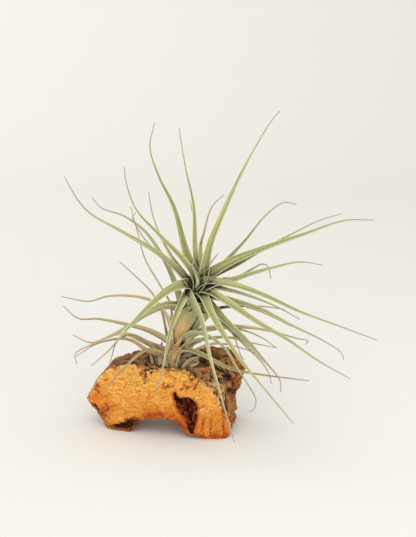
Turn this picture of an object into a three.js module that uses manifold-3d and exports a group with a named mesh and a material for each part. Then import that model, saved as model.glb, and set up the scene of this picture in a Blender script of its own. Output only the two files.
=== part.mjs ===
// A branched air plant, Tillandsia werdermannii, seated in a hollow on top of a chunk of cork bark.
// Millimetres, +Z up, +X to the right of the cut face of the cork, -Y towards the viewer.

import * as THREE from 'three';
import { mergeVertices } from 'three/addons/utils/BufferGeometryUtils.js';
import Module from 'manifold-3d';

const wasm = await Module();
wasm.setup();

// Driving dimensions
const corkRear = 26;
const corkFace = -27;
const corkFaceLeft = -4;
const corkSlant = [-95, -28];
const corkCentre = [-38, 33];
const corkCorners = 54;
const barkFissure = 1.6;
const faceRelief = 0.5;
const stemRadius = 4.2;
const roundSides = 14;
const crownBaseRadius = 6.6;
const nodeGap = 0.35;
const tipWidth = 0.85;
const ribThickness = 1.05;
const edgeThickness = 0.75;
const channelDepth = 0.3;
const taper = 1.75;
const sliceLength = 12;
const mostSlices = 11;
const shortestEdge = 0.01;

// Papery sheaths of the stem: shares of the stem's length, then millimetres
const stemSheath = { count: 7, first: 0.22, last: 0.58, length: 0.22, width: 8, flare: 1.7 };
const goldenAngle = THREE.MathUtils.degToRad(137.5);

// The middle of the plant's spread, brought over the origin
const standOffset = [4, 7.5, 0];

// Leaf courses are drawn as seen from the front, 12 degrees above the level, as millimetres to the
// right of the stem line and above the floor, and each point is then set at its own depth
const sight = {
  elevation: THREE.MathUtils.degToRad(12),
  distance: 700,
  aim: new THREE.Vector3(-8.4, 0, 116.3),
  aimHeight: 118.65,
};

// Main parts of the plant: where the stems stand and how the crown leans to the front
const stemCourse = [
  [-29, 4, 37], [-29, 4, 44], [-29.5, 3, 57], [-27.5, -0.5, 69], [-23, -4.4, 78.4], [-22.2, -7, 82],
];
const crownHeart = new THREE.Vector3(-15.8, -28, 111.6);
const leftShoot = [[-39, -3, 37], [-39, -3, 44], [-37, -5, 52], [-34, -7, 60]];
const rightShoot = [[-19, -10, 38], [-19, -10, 45], [-20.5, -10, 53], [-21.5, -10.5, 61]];
const shootRadii = [4.6, 5, 4.6, 3];
const socket = { centre: [-27, -3, 53], radii: [25, 15, 9.5] };

// How the skin of the cork is drawn from the middle of the cut face over its edge to the back:
// the share of the outline, then the share of the way from the face to the back
const corkRounds = [
  [0.02, 0], [0.3, 0], [0.56, 0], [0.79, 0], [0.94, 0.004], [0.985, 0.03],
  [1, 0.08], [1, 0.175], [1, 0.27], [1, 0.365], [1, 0.46],
  [1, 0.56], [1, 0.655], [1, 0.75], [1, 0.845], [1, 0.94],
  [0.97, 0.985], [0.84, 1], [0.5, 1], [0.02, 1],
];
const outlineChange = [0.02, 0.55];
const skinDepth = [0.9, 1];

// Cork outline at the cut face and at the back, from the left tip over the top; both are closed
const corkFront = [
  [-91, 22.5], [-88, 31], [-80, 43], [-70, 48.5], [-61, 51.5], [-47, 48.5], [-31, 48.6],
  [-23, 48], [-16, 42], [-5, 36], [0.5, 22], [4.5, 12], [5, 3.5], [1, -1.5],
  [-8, -1.5], [-18, 3], [-23, 4.5], [-28, 10], [-33, 14], [-42, 14.5], [-50, 12.3],
  [-57, 9.5], [-61, 4.5], [-66, -1.5], [-76, -1.5], [-80, 4], [-84, 11], [-88, 17],
];
const corkBack = [
  [-86, 22], [-84, 31], [-78, 41], [-68, 48], [-56, 51], [-40, 50], [-22, 51],
  [-6, 53], [6, 53], [15, 46], [16.5, 33], [11, 27], [10.5, 9], [5, -1.5],
  [-8, -1.5], [-18, 2], [-25, 6], [-29, 11], [-34, 15], [-43, 16], [-51, 15],
  [-57, 11], [-61, 5], [-67, -1.5], [-77, -1.5], [-81, 5], [-84, 11], [-86, 17],
];

// Cleft in the cut face, as a closed outline
const cleft = [
  [-33, 33], [-31.5, 35], [-27, 30.5], [-22, 30.5], [-17.5, 28], [-15.3, 23],
  [-16, 14], [-17.5, 8], [-19, 2], [-22.5, 6], [-24.5, 13], [-28.5, 20], [-31, 26],
];
const cleftDepth = 21;
const cleftOvercut = 12;

// Leaves: place on the axis (0 at its foot, 1 at its tip), width, depths along the course, course
const crownLeaves = [
  {
    at: 0.7, width: 7.4, depth: [-24, 20],
    course: [[-24, 109], [-42, 127], [-69, 144], [-91, 157], [-100, 167], [-109, 183]],
  },
  {
    at: 0.55, width: 5, depth: [-22, 60],
    course: [[-24, 111], [-38, 126], [-52, 143.5], [-67, 155], [-83, 161], [-89.5, 168]],
  },
  {
    at: 0.8, width: 6.8, depth: [-27, -8],
    course: [[-18, 111], [-27, 125], [-43, 142], [-59, 160], [-66, 180], [-67, 190]],
  },
  {
    at: 0.6, width: 5, depth: [-20, 60],
    course: [[-24, 111], [-34, 126], [-41, 139], [-47, 155], [-50, 172]],
  },
  {
    at: 0.5, width: 3.6, depth: [-19, 50],
    course: [[-26, 112], [-40, 126], [-52, 138], [-61, 153], [-59, 158]],
  },
  {
    at: 0.8, width: 7.6, depth: [-22, 60],
    course: [[-16, 109], [-24, 131], [-32, 160], [-43, 183], [-49, 203], [-46, 220.5]],
  },
  {
    at: 0.85, width: 5.8, depth: [-21, 55],
    course: [[-15, 109], [-17.5, 133], [-18.5, 162], [-24, 188], [-27.5, 209], [-28.5, 217]],
  },
  {
    at: 0.85, width: 4.6, depth: [-25, 50],
    course: [[-12.5, 109], [-13, 134], [-11, 143], [-6, 161], [2.5, 170]],
  },
  {
    at: 0.8, width: 9.4, depth: [-24, 25],
    course: [[-11, 109], [-6, 134], [5, 162], [19, 192.5], [35.5, 221], [42, 229]],
  },
  {
    at: 0.6, width: 5, depth: [-21, 40],
    course: [[-10.5, 111], [-7, 121], [-1, 129.5]],
  },
  {
    at: 0.64, width: 5.6, depth: [-21, 50],
    course: [[-10, 109], [5, 124], [18, 138], [31.5, 155], [44, 164.5], [53.5, 163.5]],
  },
  {
    at: 0.78, width: 9.8, depth: [-24.5, 0],
    course: [[-9, 111], [7, 121.5], [34, 133], [60, 142.5], [87, 152], [108, 152.5]],
  },
  {
    at: 0.6, width: 5.4, depth: [-22, 30],
    course: [[-9, 110], [12, 121], [34, 134], [51, 143], [69, 152], [85, 157]],
  },
  {
    at: 0.66, width: 8.6, depth: [-26.5, 10],
    course: [[-5, 106], [5, 108], [20, 113.5], [38, 119], [56, 123], [72, 121]],
  },
  {
    at: 0.45, width: 3.6, depth: [-21.5, 40],
    course: [[-8, 108], [11, 112], [24, 119], [29, 121.5], [33.5, 120], [35.5, 111.5]],
  },
  {
    at: 0.72, width: 7, depth: [-28, -30],
    course: [[-10.5, 108.5], [7, 107], [29, 100], [56, 88], [82.5, 78.5], [110, 68.5]],
  },
  {
    at: 0.58, width: 6, depth: [-26, -8],
    course: [[-9, 104.5], [7, 102.5], [22, 98.5], [40, 91.5], [56, 83]],
  },
  {
    at: 0.25, width: 4, depth: [-14, -12],
    course: [[-10.5, 88], [3, 91], [29.5, 92], [45, 90]],
  },
  {
    at: 0.4, width: 7, depth: [-20, -20],
    course: [[-9, 98.5], [5, 96], [29, 89], [50, 78.5], [72, 68], [85, 59.5], [86.5, 54.5]],
  },
  {
    at: 0.5, width: 8.8, depth: [-28, -50],
    course: [[-10.5, 102], [4, 94.5], [25, 81], [47, 68.5], [68.5, 54], [91, 41.5]],
  },
  {
    at: 0.35, width: 9, depth: [-22, -40],
    course: [[-12, 95], [4, 80.5], [18, 68], [32.5, 52], [42, 40], [42.5, 32]],
  },
  {
    at: 0.25, width: 4, depth: [-18, -30],
    course: [[-12, 93], [0, 80], [8.5, 73], [14.5, 58], [17, 54.5]],
  },
  {
    at: 0.3, width: 4.4, depth: [-19, -24],
    course: [[-12, 94], [3, 79], [17, 65], [30, 52], [35, 43], [36, 38]],
  },
  {
    at: 0.6, width: 7.8, depth: [-30, -70],
    course: [[-13, 99.5], [-6, 85.5], [4, 69], [16, 52], [32, 33], [51.5, 10]],
  },
  {
    at: 0.5, width: 7.2, depth: [-26, -75],
    course: [[-23, 99.5], [-15.5, 85.5], [-11.5, 73], [-8, 57], [-1, 33.5], [10, -3]],
  },
  {
    at: 0.5, width: 6.4, depth: [-27, -60],
    course: [[-24, 101], [-29, 93], [-35.5, 75], [-40, 51], [-45, 29.5]],
  },
  {
    at: 0.3, width: 4.4, depth: [-18, -38],
    course: [[-21, 92], [-27, 88], [-33, 76.5], [-34, 70.5]],
  },
  {
    at: 0.95, width: 4, depth: [-30, -26],
    course: [[-16, 109], [-17.5, 115], [-19.5, 121], [-17.5, 124]],
  },
  {
    at: 0.6, width: 9, depth: [-26, -40],
    course: [[-23, 107], [-34, 104], [-48, 93], [-62, 79], [-78, 61], [-90, 50.5]],
  },
  {
    at: 0.2, width: 7, depth: [-14, -34],
    course: [
      [-24.5, 89.5], [-36, 92.5], [-51, 87], [-64.5, 77.5], [-85.5, 67], [-101.5, 58.5],
      [-100, 52],
    ],
  },
  {
    at: 0.3, width: 5.4, depth: [-6, 48],
    course: [[-24.5, 89.5], [-36, 92], [-51, 86], [-64, 77]],
  },
  {
    at: 0.5, width: 6, depth: [-14, 46],
    course: [[-23, 106], [-34, 103], [-48, 92.5], [-62, 78.5]],
  },
  {
    at: 0.35, width: 5.6, depth: [-8, 52],
    course: [[-9, 97], [5, 95], [29, 88], [50, 78]],
  },
  {
    at: 0.3, width: 5.6, depth: [-6, 44],
    course: [[-12, 93], [3, 80], [17, 67], [31, 53]],
  },
  {
    at: 0.15, width: 5, depth: [4, 46],
    course: [[-19, 92], [-20, 82], [-22, 67], [-24, 54]],
  },
  {
    at: 0.75, width: 5.4, depth: [-16, 60],
    course: [[-15, 110], [-17.5, 132], [-18.5, 152], [-21, 166]],
  },
  {
    at: 0.2, width: 5, depth: [-4, 60],
    course: [[-14, 100], [-7, 88], [3, 70], [12, 57]],
  },
  {
    at: 0.3, width: 14, depth: [-19, -10],
    course: [[-21.5, 88], [-26, 79], [-29.5, 70], [-31, 64]],
    convex: true,
  },
];
const leftLeaves = [
  {
    at: 0.9, width: 4.8, depth: [-9, 26],
    course: [[-36, 66], [-34.5, 80], [-35, 93], [-43.5, 109], [-52.5, 125], [-57.5, 143], [-62.5, 162]],
  },
  {
    at: 0.8, width: 5.4, depth: [-7, 30],
    course: [[-36, 62], [-38, 73], [-41.5, 89.5], [-48, 101.5], [-57.5, 111.5], [-70.5, 123.5]],
  },
  {
    at: 0.6, width: 6, depth: [-10, -45],
    course: [[-38.5, 57.5], [-48, 61], [-55, 59], [-68.5, 47], [-82.5, 31]],
  },
  {
    at: 0.75, width: 8, depth: [-8, 4],
    course: [[-35, 63.5], [-48, 73], [-66.5, 79], [-85.5, 83], [-99, 83.5], [-110, 92.5]],
  },
  {
    at: 0.9, width: 6.8, depth: [-9, 20],
    course: [[-35, 74], [-38.5, 86], [-46.5, 94.5], [-59, 98.5], [-78, 99], [-92, 95.5], [-111, 99]],
  },
  {
    at: 0.5, width: 4, depth: [-9, -28],
    course: [[-42, 57.5], [-59.5, 71.5], [-69, 70], [-73, 65.5], [-75.5, 57.5], [-77.5, 51]],
  },
  {
    at: 0.6, width: 4.8, depth: [-7, 14],
    course: [[-38.5, 58], [-51, 65], [-64.5, 71.5], [-73, 72], [-90, 66.5], [-103, 72]],
  },
  {
    at: 0.45, width: 5, depth: [-8, -22],
    course: [[-40.5, 56], [-51, 60], [-61, 67], [-69, 69], [-85.5, 66], [-101, 57]],
  },
];
const rightLeaves = [
  {
    at: 0.85, width: 9, depth: [-11, 6],
    course: [[-22, 63], [-15, 70.5], [-8, 75.3], [11, 77], [32.5, 75], [54, 69.5], [61, 65.5]],
  },
  {
    at: 0.9, width: 5, depth: [-12, -8],
    course: [[-21, 68], [-3.5, 76], [14, 75.5], [28.5, 70.5], [39.5, 63]],
  },
  {
    at: 0.8, width: 5.2, depth: [-12, -20],
    course: [[-21, 65], [-10.5, 68.5], [5.5, 70], [21.5, 66.5], [40, 63]],
  },
  {
    at: 0.7, width: 4.8, depth: [-13, -28],
    course: [[-17.5, 60], [-7, 65], [3, 65.5], [16, 62.5], [24, 59.5]],
  },
  {
    at: 0.85, width: 4, depth: [-13, -18],
    course: [[-21.5, 62], [-17, 66], [-13, 67]],
  },
  {
    at: 0.6, width: 7, depth: [-14, -25, -26, -24],
    course: [[-27, 59.5], [-21, 61], [-10, 54.5], [3, 49.5], [15.5, 46], [32.5, 43.5], [62.5, 40]],
  },
];

const stemLeaves = [
  {
    at: 0.62, width: 6.4, depth: [-7, -14, -21, -28, -34, -40, -45],
    course: [[-26, 74], [-19.5, 76], [-9, 72.5], [3, 63], [11.5, 49], [21.5, 32], [20.5, 17.5]],
  },
];

const toVectors = (points) => points.map((point) => new THREE.Vector3(...point));

// The point at a given depth that shows at this place in the front view
function placeAtDepth([across, height], depth) {
  const cos = Math.cos(sight.elevation);
  const sin = Math.sin(sight.elevation);
  const side = across - sight.aim.x;
  const rise = height - sight.aimHeight;
  const eye = sight.aim.clone().add(new THREE.Vector3(0, -cos, sin).multiplyScalar(sight.distance));
  const shown = sight.aim.clone().add(new THREE.Vector3(side, rise * sin, rise * cos));
  const reach = (depth - eye.y) / (shown.y - eye.y);
  return eye.lerp(shown, reach);
}

// A value read along a short list, straight from one entry to the next
function readAlong(list, share) {
  const place = Math.min(Math.max(share, 0), 1) * (list.length - 1);
  const index = Math.min(Math.floor(place), list.length - 2);
  return THREE.MathUtils.lerp(list[index], list[index + 1], place - index);
}

function toManifold(vertices, triangles) {
  return new wasm.Manifold(new wasm.Mesh({
    numProp: 3,
    vertProperties: new Float32Array(vertices.flatMap((vertex) => vertex.toArray())),
    triVerts: new Uint32Array(triangles.flat()),
  }));
}

// Joins rings of equal count into one closed solid, with a fan over the first and the last ring
function solidFromRings(rings) {
  const count = rings[0].length;
  const last = (rings.length - 1) * count;
  const triangles = [];
  for (let ring = 0; ring < rings.length - 1; ring += 1) {
    for (let k = 0; k < count; k += 1) {
      const a = ring * count + k;
      const b = ring * count + ((k + 1) % count);
      triangles.push([a, a + count, b], [b, a + count, b + count]);
    }
  }
  for (let k = 1; k < count - 1; k += 1) {
    triangles.push([0, k, k + 1], [last, last + k + 1, last + k]);
  }
  return toManifold(rings.flat(), triangles);
}

// Carries a section along a curve; the section's rise stays on the side that it faces at the root
function sweep(curve, slices, facing, sectionAt) {
  const normal = facing.clone();
  const rings = [];
  for (let slice = 0; slice <= slices; slice += 1) {
    const share = slice / slices;
    const centre = curve.getPointAt(share);
    const along = curve.getTangentAt(share);
    normal.addScaledVector(along, -normal.dot(along)).normalize();
    const across = new THREE.Vector3().crossVectors(along, normal);
    rings.push(sectionAt(share).map(([side, rise]) => (
      centre.clone().addScaledVector(across, side).addScaledVector(normal, rise)
    )));
  }
  return solidFromRings(rings);
}

// A round stem whose radius is read along a list
function stem(points, radii, slices) {
  const curve = new THREE.CatmullRomCurve3(points);
  return sweep(curve, slices, new THREE.Vector3(1, 0, 0), (share) => {
    const radius = readAlong(radii, share);
    return Array.from({ length: roundSides }, (_, k) => {
      const angle = (2 * Math.PI * k) / roundSides;
      return [radius * Math.cos(angle), radius * Math.sin(angle)];
    });
  });
}

// One channelled leaf, wide at its sheath and drawn out to a thread
function leaf(points, width, facing) {
  const curve = new THREE.CatmullRomCurve3(points);
  const slices = THREE.MathUtils.clamp(Math.round(curve.getLength() / sliceLength), 4, mostSlices);
  return sweep(curve, slices, facing, (share) => {
    const wide = tipWidth + (width - tipWidth) * (1 - share) ** taper;
    const half = wide / 2;
    const fold = channelDepth * (wide - tipWidth);
    const rib = ribThickness / 2;
    const edge = edgeThickness / 2;
    return [
      [0, -rib], [half, fold - edge], [half, fold + edge],
      [0, rib], [-half, fold + edge], [-half, fold - edge],
    ];
  });
}

// Every leaf of a shoot, rooted on its axis and facing along it, fused with the shoot's core
function leafyShoot(axisPoints, core, leaves) {
  const axis = new THREE.CatmullRomCurve3(axisPoints);
  return leaves.reduce((solid, { at, width, depth, course, convex }) => {
    const points = course.map((spot, index) => (
      placeAtDepth(spot, readAlong(depth, index / (course.length - 1)))
    ));
    const facing = axis.getTangentAt(at).multiplyScalar(convex ? -1 : 1);
    const blade = leaf([axis.getPointAt(at), ...points], width, facing);
    return solid.add(blade);
  }, core);
}

// Short papery sheaths that clasp the main stem in a spiral
function stemSheaths(axisPoints) {
  const { count, first, last, length, width, flare } = stemSheath;
  const axis = new THREE.CatmullRomCurve3(axisPoints);
  return Array.from({ length: count }, (_, index) => {
    const foot = THREE.MathUtils.lerp(first, last, index / (count - 1));
    const angle = goldenAngle * index;
    const outward = new THREE.Vector3(Math.cos(angle), Math.sin(angle), 0);
    const spot = (share, reach) => axis.getPointAt(share).addScaledVector(outward, reach);
    const course = [
      spot(foot, stemRadius / 4),
      spot(foot + length / 2, stemRadius),
      spot(foot + length, stemRadius + flare),
    ];
    return leaf(course, width, outward.clone().negate());
  });
}

// The face of the cork is a slanting cut, so it stands further back to the left
function corkFaceAt(x) {
  const share = THREE.MathUtils.smoothstep(x, ...corkSlant);
  return THREE.MathUtils.lerp(corkFaceLeft, corkFace, share);
}

// Ridges of bark follow the edge of the face round the chunk; the face itself is only lumpy
function barkRelief(x, y, z) {
  const drift = 1.1 * Math.sin(0.09 * x + 0.6) + 0.8 * Math.sin(0.13 * z + 0.05 * x);
  const ridge = Math.abs(Math.sin(0.26 * y + drift)) - 0.6;
  const lumps = Math.sin(0.23 * x + 0.11 * y) * Math.sin(0.19 * z + 0.14 * y + 1.3);
  return barkFissure * (1.5 * ridge + 0.8 * lumps);
}

function lumpyFace(x, z) {
  return faceRelief * (Math.sin(0.31 * x + 0.2 * z) + Math.sin(0.47 * z - 0.12 * x + 2));
}

function corkBlock() {
  const close = (outline) => new THREE.CatmullRomCurve3(
    outline.map(([x, z]) => new THREE.Vector3(x, 0, z)),
    true,
  );
  const front = close(corkFront);
  const back = close(corkBack);
  const [middleX, middleZ] = corkCentre;
  const rings = corkRounds.map(([scale, through]) => (
    Array.from({ length: corkCorners }, (_, k) => {
      const turn = k / corkCorners;
      const morph = THREE.MathUtils.smoothstep(through, ...outlineChange);
      const spot = front.getPoint(turn).lerp(back.getPoint(turn), morph);
      const x = middleX + (spot.x - middleX) * scale;
      const z = middleZ + (spot.z - middleZ) * scale;
      const face = corkFaceAt(x);
      const y = THREE.MathUtils.lerp(face, corkRear, through);
      const outward = new THREE.Vector3(spot.x - middleX, 0, spot.z - middleZ).normalize();
      const skin = THREE.MathUtils.smoothstep(scale, ...skinDepth);
      const lift = skin * barkRelief(x, y, z);
      const push = (1 - skin) * lumpyFace(x, z) * (through < 0.5 ? -1 : 1);
      return new THREE.Vector3(x, y + push, z).addScaledVector(outward, lift);
    })
  ));
  // Taken from the back to the face, so that the surface looks outwards
  return solidFromRings(rings.reverse());
}

function fromGeometry(geometry) {
  geometry.deleteAttribute('normal');
  geometry.deleteAttribute('uv');
  const merged = mergeVertices(geometry, 1e-3);
  return new wasm.Manifold(new wasm.Mesh({
    numProp: 3,
    vertProperties: merged.getAttribute('position').array,
    triVerts: new Uint32Array(merged.index.array),
  }));
}

function placed(geometry, position, scale = [1, 1, 1]) {
  geometry.scale(...scale);
  geometry.translate(...position);
  return fromGeometry(geometry);
}

// The cork with its flat feet, the hollow that the plant sits in, a hole for each stem and the cleft
function corkBark(stemHoles) {
  const floorBlock = [160, 120, 20];
  const below = new THREE.BoxGeometry(...floorBlock);
  const bowl = new THREE.SphereGeometry(1, 28, 16);
  const outline = new THREE.Shape(cleft.map(([x, z]) => new THREE.Vector2(x, z)));
  const slot = new THREE.ExtrudeGeometry(outline, {
    depth: cleftDepth + cleftOvercut,
    bevelEnabled: false,
  });
  slot.rotateX(Math.PI / 2);
  const cut = [
    placed(below, [corkCentre[0], 0, -floorBlock[2] / 2]),
    placed(bowl, socket.centre, socket.radii),
    placed(slot, [0, corkFace + cleftDepth, 0]),
    ...stemHoles,
  ];
  return cut.reduce((solid, tool) => solid.subtract(tool), corkBlock());
}

// Numbers joined into groups, each known by one of its members
function grouping(count) {
  const owner = Array.from({ length: count }, (_, k) => k);
  const find = (index) => {
    let root = index;
    while (owner[root] !== root) root = owner[root];
    owner[index] = root;
    return root;
  };
  const join = (one, other) => {
    owner[find(other)] = find(one);
  };
  return { find, join };
}

// The triangles of a solid after its shortest edges are drawn together to one point
function weldedTriangles(points, triangles) {
  const weld = grouping(points.length);
  for (const [a, b, c] of triangles) {
    for (const [one, other] of [[a, b], [b, c], [c, a]]) {
      if (points[one].distanceTo(points[other]) < shortestEdge) weld.join(one, other);
    }
  }
  const kept = new Map();
  for (const triangle of triangles) {
    const corners = triangle.map((index) => weld.find(index));
    if (new Set(corners).size < 3) continue;
    const key = [...corners].sort((one, other) => one - other).join();
    if (kept.has(key)) kept.delete(key);
    else kept.set(key, corners);
  }
  return [...kept.values()];
}

// The outer skin alone: pockets that crossing leaves close off are filled, and loose scraps dropped
function outerSkin(solid) {
  const { numProp, vertProperties, triVerts } = solid.getMesh();
  const points = Array.from({ length: vertProperties.length / numProp }, (_, k) => (
    new THREE.Vector3().fromArray(vertProperties, k * numProp)
  ));
  const raw = Array.from({ length: triVerts.length / 3 }, (_, k) => (
    [...triVerts.subarray(3 * k, 3 * k + 3)]
  ));
  const triangles = weldedTriangles(points, raw);
  const shells = grouping(points.length);
  for (const [a, b, c] of triangles) {
    shells.join(a, b);
    shells.join(a, c);
  }
  const skins = new Map();
  for (const triangle of triangles) {
    const root = shells.find(triangle[0]);
    const skin = skins.get(root) ?? { volume: 0, corners: [] };
    const [a, b, c] = triangle.map((index) => points[index]);
    skin.volume += a.dot(b.clone().cross(c)) / 6;
    skin.corners.push(a, b, c);
    skins.set(root, skin);
  }
  const largest = [...skins.values()].sort((one, other) => other.volume - one.volume)[0];
  return new THREE.BufferGeometry().setFromPoints(largest.corners);
}

function asMesh(name, solid, color, roughness) {
  const geometry = outerSkin(solid);
  geometry.computeVertexNormals();
  const mesh = new THREE.Mesh(geometry, new THREE.MeshStandardMaterial({ color, roughness, metalness: 0 }));
  mesh.name = name;
  return mesh;
}

const stemPoints = toVectors(stemCourse);
const stemTop = stemPoints[stemPoints.length - 1];
const leanAxis = crownHeart.clone().sub(stemTop).normalize();
const crownFoot = stemTop.clone().addScaledVector(leanAxis, nodeGap);
const crownAxis = [crownFoot, crownHeart];
const stemRadii = [stemRadius, stemRadius, stemRadius, stemRadius + 0.5, stemRadius + 1.2, crownBaseRadius];
const crownRadii = [crownBaseRadius, crownBaseRadius + 0.8, crownBaseRadius, 5, 3];
const leftAxis = toVectors(leftShoot);
const rightAxis = toVectors(rightShoot);

const wider = (radii) => radii.map((radius) => radius + nodeGap);
const lowered = (points) => [points[0].clone().setZ(points[0].z - nodeGap), ...points.slice(1)];
const holes = [
  stem(lowered(stemPoints), wider(stemRadii), 10),
  stem(lowered(leftAxis), wider(shootRadii), 8),
  stem(lowered(rightAxis), wider(shootRadii), 8),
];

const clothedStem = stemSheaths(stemPoints).reduce(
  (solid, sheath) => solid.add(sheath),
  stem(stemPoints, stemRadii, 14),
);
const mainStem = leafyShoot(stemPoints, clothedStem, stemLeaves);
const crown = leafyShoot(crownAxis, stem(crownAxis, crownRadii, 8), crownLeaves);
const leftTuft = leafyShoot(leftAxis, stem(leftAxis, shootRadii, 8), leftLeaves);
const rightTuft = leafyShoot(rightAxis, stem(rightAxis, shootRadii, 8), rightLeaves);

const airPlant = new THREE.Group();
airPlant.add(
  asMesh('cork_bark', corkBark(holes), 0xd98a35, 0.95),
  asMesh('main_stem', mainStem, 0xa98d6c, 0.85),
  asMesh('crown_leaves', crown, 0xa3ad8a, 0.7),
  asMesh('left_shoot_leaves', leftTuft, 0x9c9a80, 0.75),
  asMesh('right_shoot_leaves', rightTuft, 0x9aa07f, 0.75),
);
airPlant.position.set(...standOffset);

export default airPlant;
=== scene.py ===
import math
import random

import bmesh
import bpy
import numpy as np
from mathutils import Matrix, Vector, bvhtree, kdtree, noise


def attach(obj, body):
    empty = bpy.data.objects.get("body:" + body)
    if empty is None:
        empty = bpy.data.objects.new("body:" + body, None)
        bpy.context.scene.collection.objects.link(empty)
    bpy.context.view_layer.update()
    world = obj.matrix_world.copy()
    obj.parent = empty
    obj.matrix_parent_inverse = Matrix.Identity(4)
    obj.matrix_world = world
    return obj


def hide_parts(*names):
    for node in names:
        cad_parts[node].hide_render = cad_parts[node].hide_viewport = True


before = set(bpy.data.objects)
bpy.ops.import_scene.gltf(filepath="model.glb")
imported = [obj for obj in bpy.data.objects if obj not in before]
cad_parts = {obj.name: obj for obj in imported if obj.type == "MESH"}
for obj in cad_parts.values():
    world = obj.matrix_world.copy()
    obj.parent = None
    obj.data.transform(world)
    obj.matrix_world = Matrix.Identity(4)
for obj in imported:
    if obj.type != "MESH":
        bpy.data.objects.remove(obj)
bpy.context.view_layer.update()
bpy.ops.object.select_all(action='DESELECT')
print("frame loaded:", ", ".join(sorted(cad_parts)))

# Lengths in the dictionaries are millimetres, and the stand offset brings them over the origin
millimetre = 0.001
standOffset = Vector((4, 7.5, 0))
goldenAngle = math.radians(137.5)

# Where the plant is looked at from
sight = {
    "aim": Vector((-8.4, 0, 116.3)),
    "aimHeight": 118.65,
    "elevation": math.radians(12),
    "distance": 700,
    "sensorWidth": 36,
    "widthSeen": 291.2,
}


def tint(red, green, blue):
    # Colours are noted as a picture editor shows them, and turned to scene values here
    return tuple(((part / 255 + 0.055) / 1.055) ** 2.4 for part in (red, green, blue)) + (1.0,)


def readAlong(values, share):
    # A value read along a short list, straight from one entry to the next
    return np.interp(share, np.linspace(0, 1, len(values)), values)


def softStep(value, low, high):
    share = np.clip((value - low) / (high - low), 0, 1)
    return share * share * (3 - 2 * share)


# Shader helpers

def feed(tree, socket, value):
    if isinstance(value, bpy.types.NodeSocket):
        tree.links.new(value, socket)
    else:
        socket.default_value = value


def addNode(tree, kind, inputs=None, **settings):
    made = tree.nodes.new(kind)
    for name, value in settings.items():
        setattr(made, name, value)
    for name, value in (inputs or {}).items():
        feed(tree, made.inputs[name], value)
    return made


def mixColours(tree, share, first, second, blend='MIX'):
    inputs = {0: share, 6: first, 7: second}
    return addNode(tree, 'ShaderNodeMix', inputs, data_type='RGBA', blend_type=blend).outputs[2]


def calculate(tree, operation, *values):
    made = addNode(tree, 'ShaderNodeMath', operation=operation)
    for index, value in enumerate(values):
        feed(tree, made.inputs[index], value)
    return made.outputs[0]


def remap(tree, value, low, high, toLow=0.0, toHigh=1.0):
    made = addNode(tree, 'ShaderNodeMapRange', {0: value, 1: low, 2: high, 3: toLow, 4: toHigh})
    made.interpolation_type = 'SMOOTHSTEP'
    return made.outputs[0]


def attribute(tree, name):
    return addNode(tree, 'ShaderNodeAttribute', attribute_name=name).outputs['Fac']


def multiply(tree, first, second):
    return calculate(tree, 'MULTIPLY', first, second)


def masked(tree, name, strength):
    return multiply(tree, attribute(tree, name), strength)


def noiseAt(tree, vector, scale, detail, roughness):
    return addNode(tree, 'ShaderNodeTexNoise', {
        'Vector': vector, 'Scale': scale, 'Detail': detail, 'Roughness': roughness,
    }).outputs[0]


def objectPlace(tree):
    return addNode(tree, 'ShaderNodeTexCoord').outputs['Object']


def newGroup(name, inputs, outputs):
    # A shader group with its named sockets; returns the tree, its inputs and its output node
    tree = bpy.data.node_groups.new(name, 'ShaderNodeTree')
    for label, kind, value in inputs:
        socket = tree.interface.new_socket(name=label, in_out='INPUT', socket_type=kind)
        socket.default_value = value
    for label, kind in outputs:
        tree.interface.new_socket(name=label, in_out='OUTPUT', socket_type=kind)
    entry = tree.nodes.new('NodeGroupInput')
    leave = tree.nodes.new('NodeGroupOutput')
    return tree, entry.outputs, leave.inputs


def useGroup(tree, group, values):
    made = tree.nodes.new('ShaderNodeGroup')
    made.node_tree = group
    for name, value in values.items():
        feed(tree, made.inputs[name], value)
    return made.outputs


def newMaterial(name, settings):
    material = bpy.data.materials.new(name)
    material.use_nodes = True
    tree = material.node_tree
    shader = tree.nodes['Principled BSDF']
    for label, value in settings.items():
        shader.inputs[label].default_value = value
    return material, tree, shader


def bumpInto(tree, shader, height, distance, strength):
    bump = addNode(tree, 'ShaderNodeBump', {'Height': height, 'Distance': distance, 'Strength': strength})
    tree.links.new(bump.outputs[0], shader.inputs['Normal'])


colourSocket = 'NodeSocketColor'
valueSocket = 'NodeSocketFloat'


def makeSpeckleGroup():
    # Small dots that lie over a surface, such as the scales on a leaf or the grains of cork
    tree, given, out = newGroup(
        "speckle",
        [("Size", valueSocket, 0.6), ("Cover", valueSocket, 0.5)],
        [("Mask", valueSocket)],
    )
    perMetre = calculate(tree, 'DIVIDE', 1000.0, given['Size'])
    dots = noiseAt(tree, objectPlace(tree), perMetre, 2.0, 0.7)
    bare = calculate(tree, 'SUBTRACT', 0.78, multiply(tree, given['Cover'], 0.5))
    full = calculate(tree, 'ADD', bare, 0.12)
    mask = addNode(tree, 'ShaderNodeMapRange', {0: dots, 1: bare, 2: full})
    feed(tree, out['Mask'], mask.outputs[0])
    return tree


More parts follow.
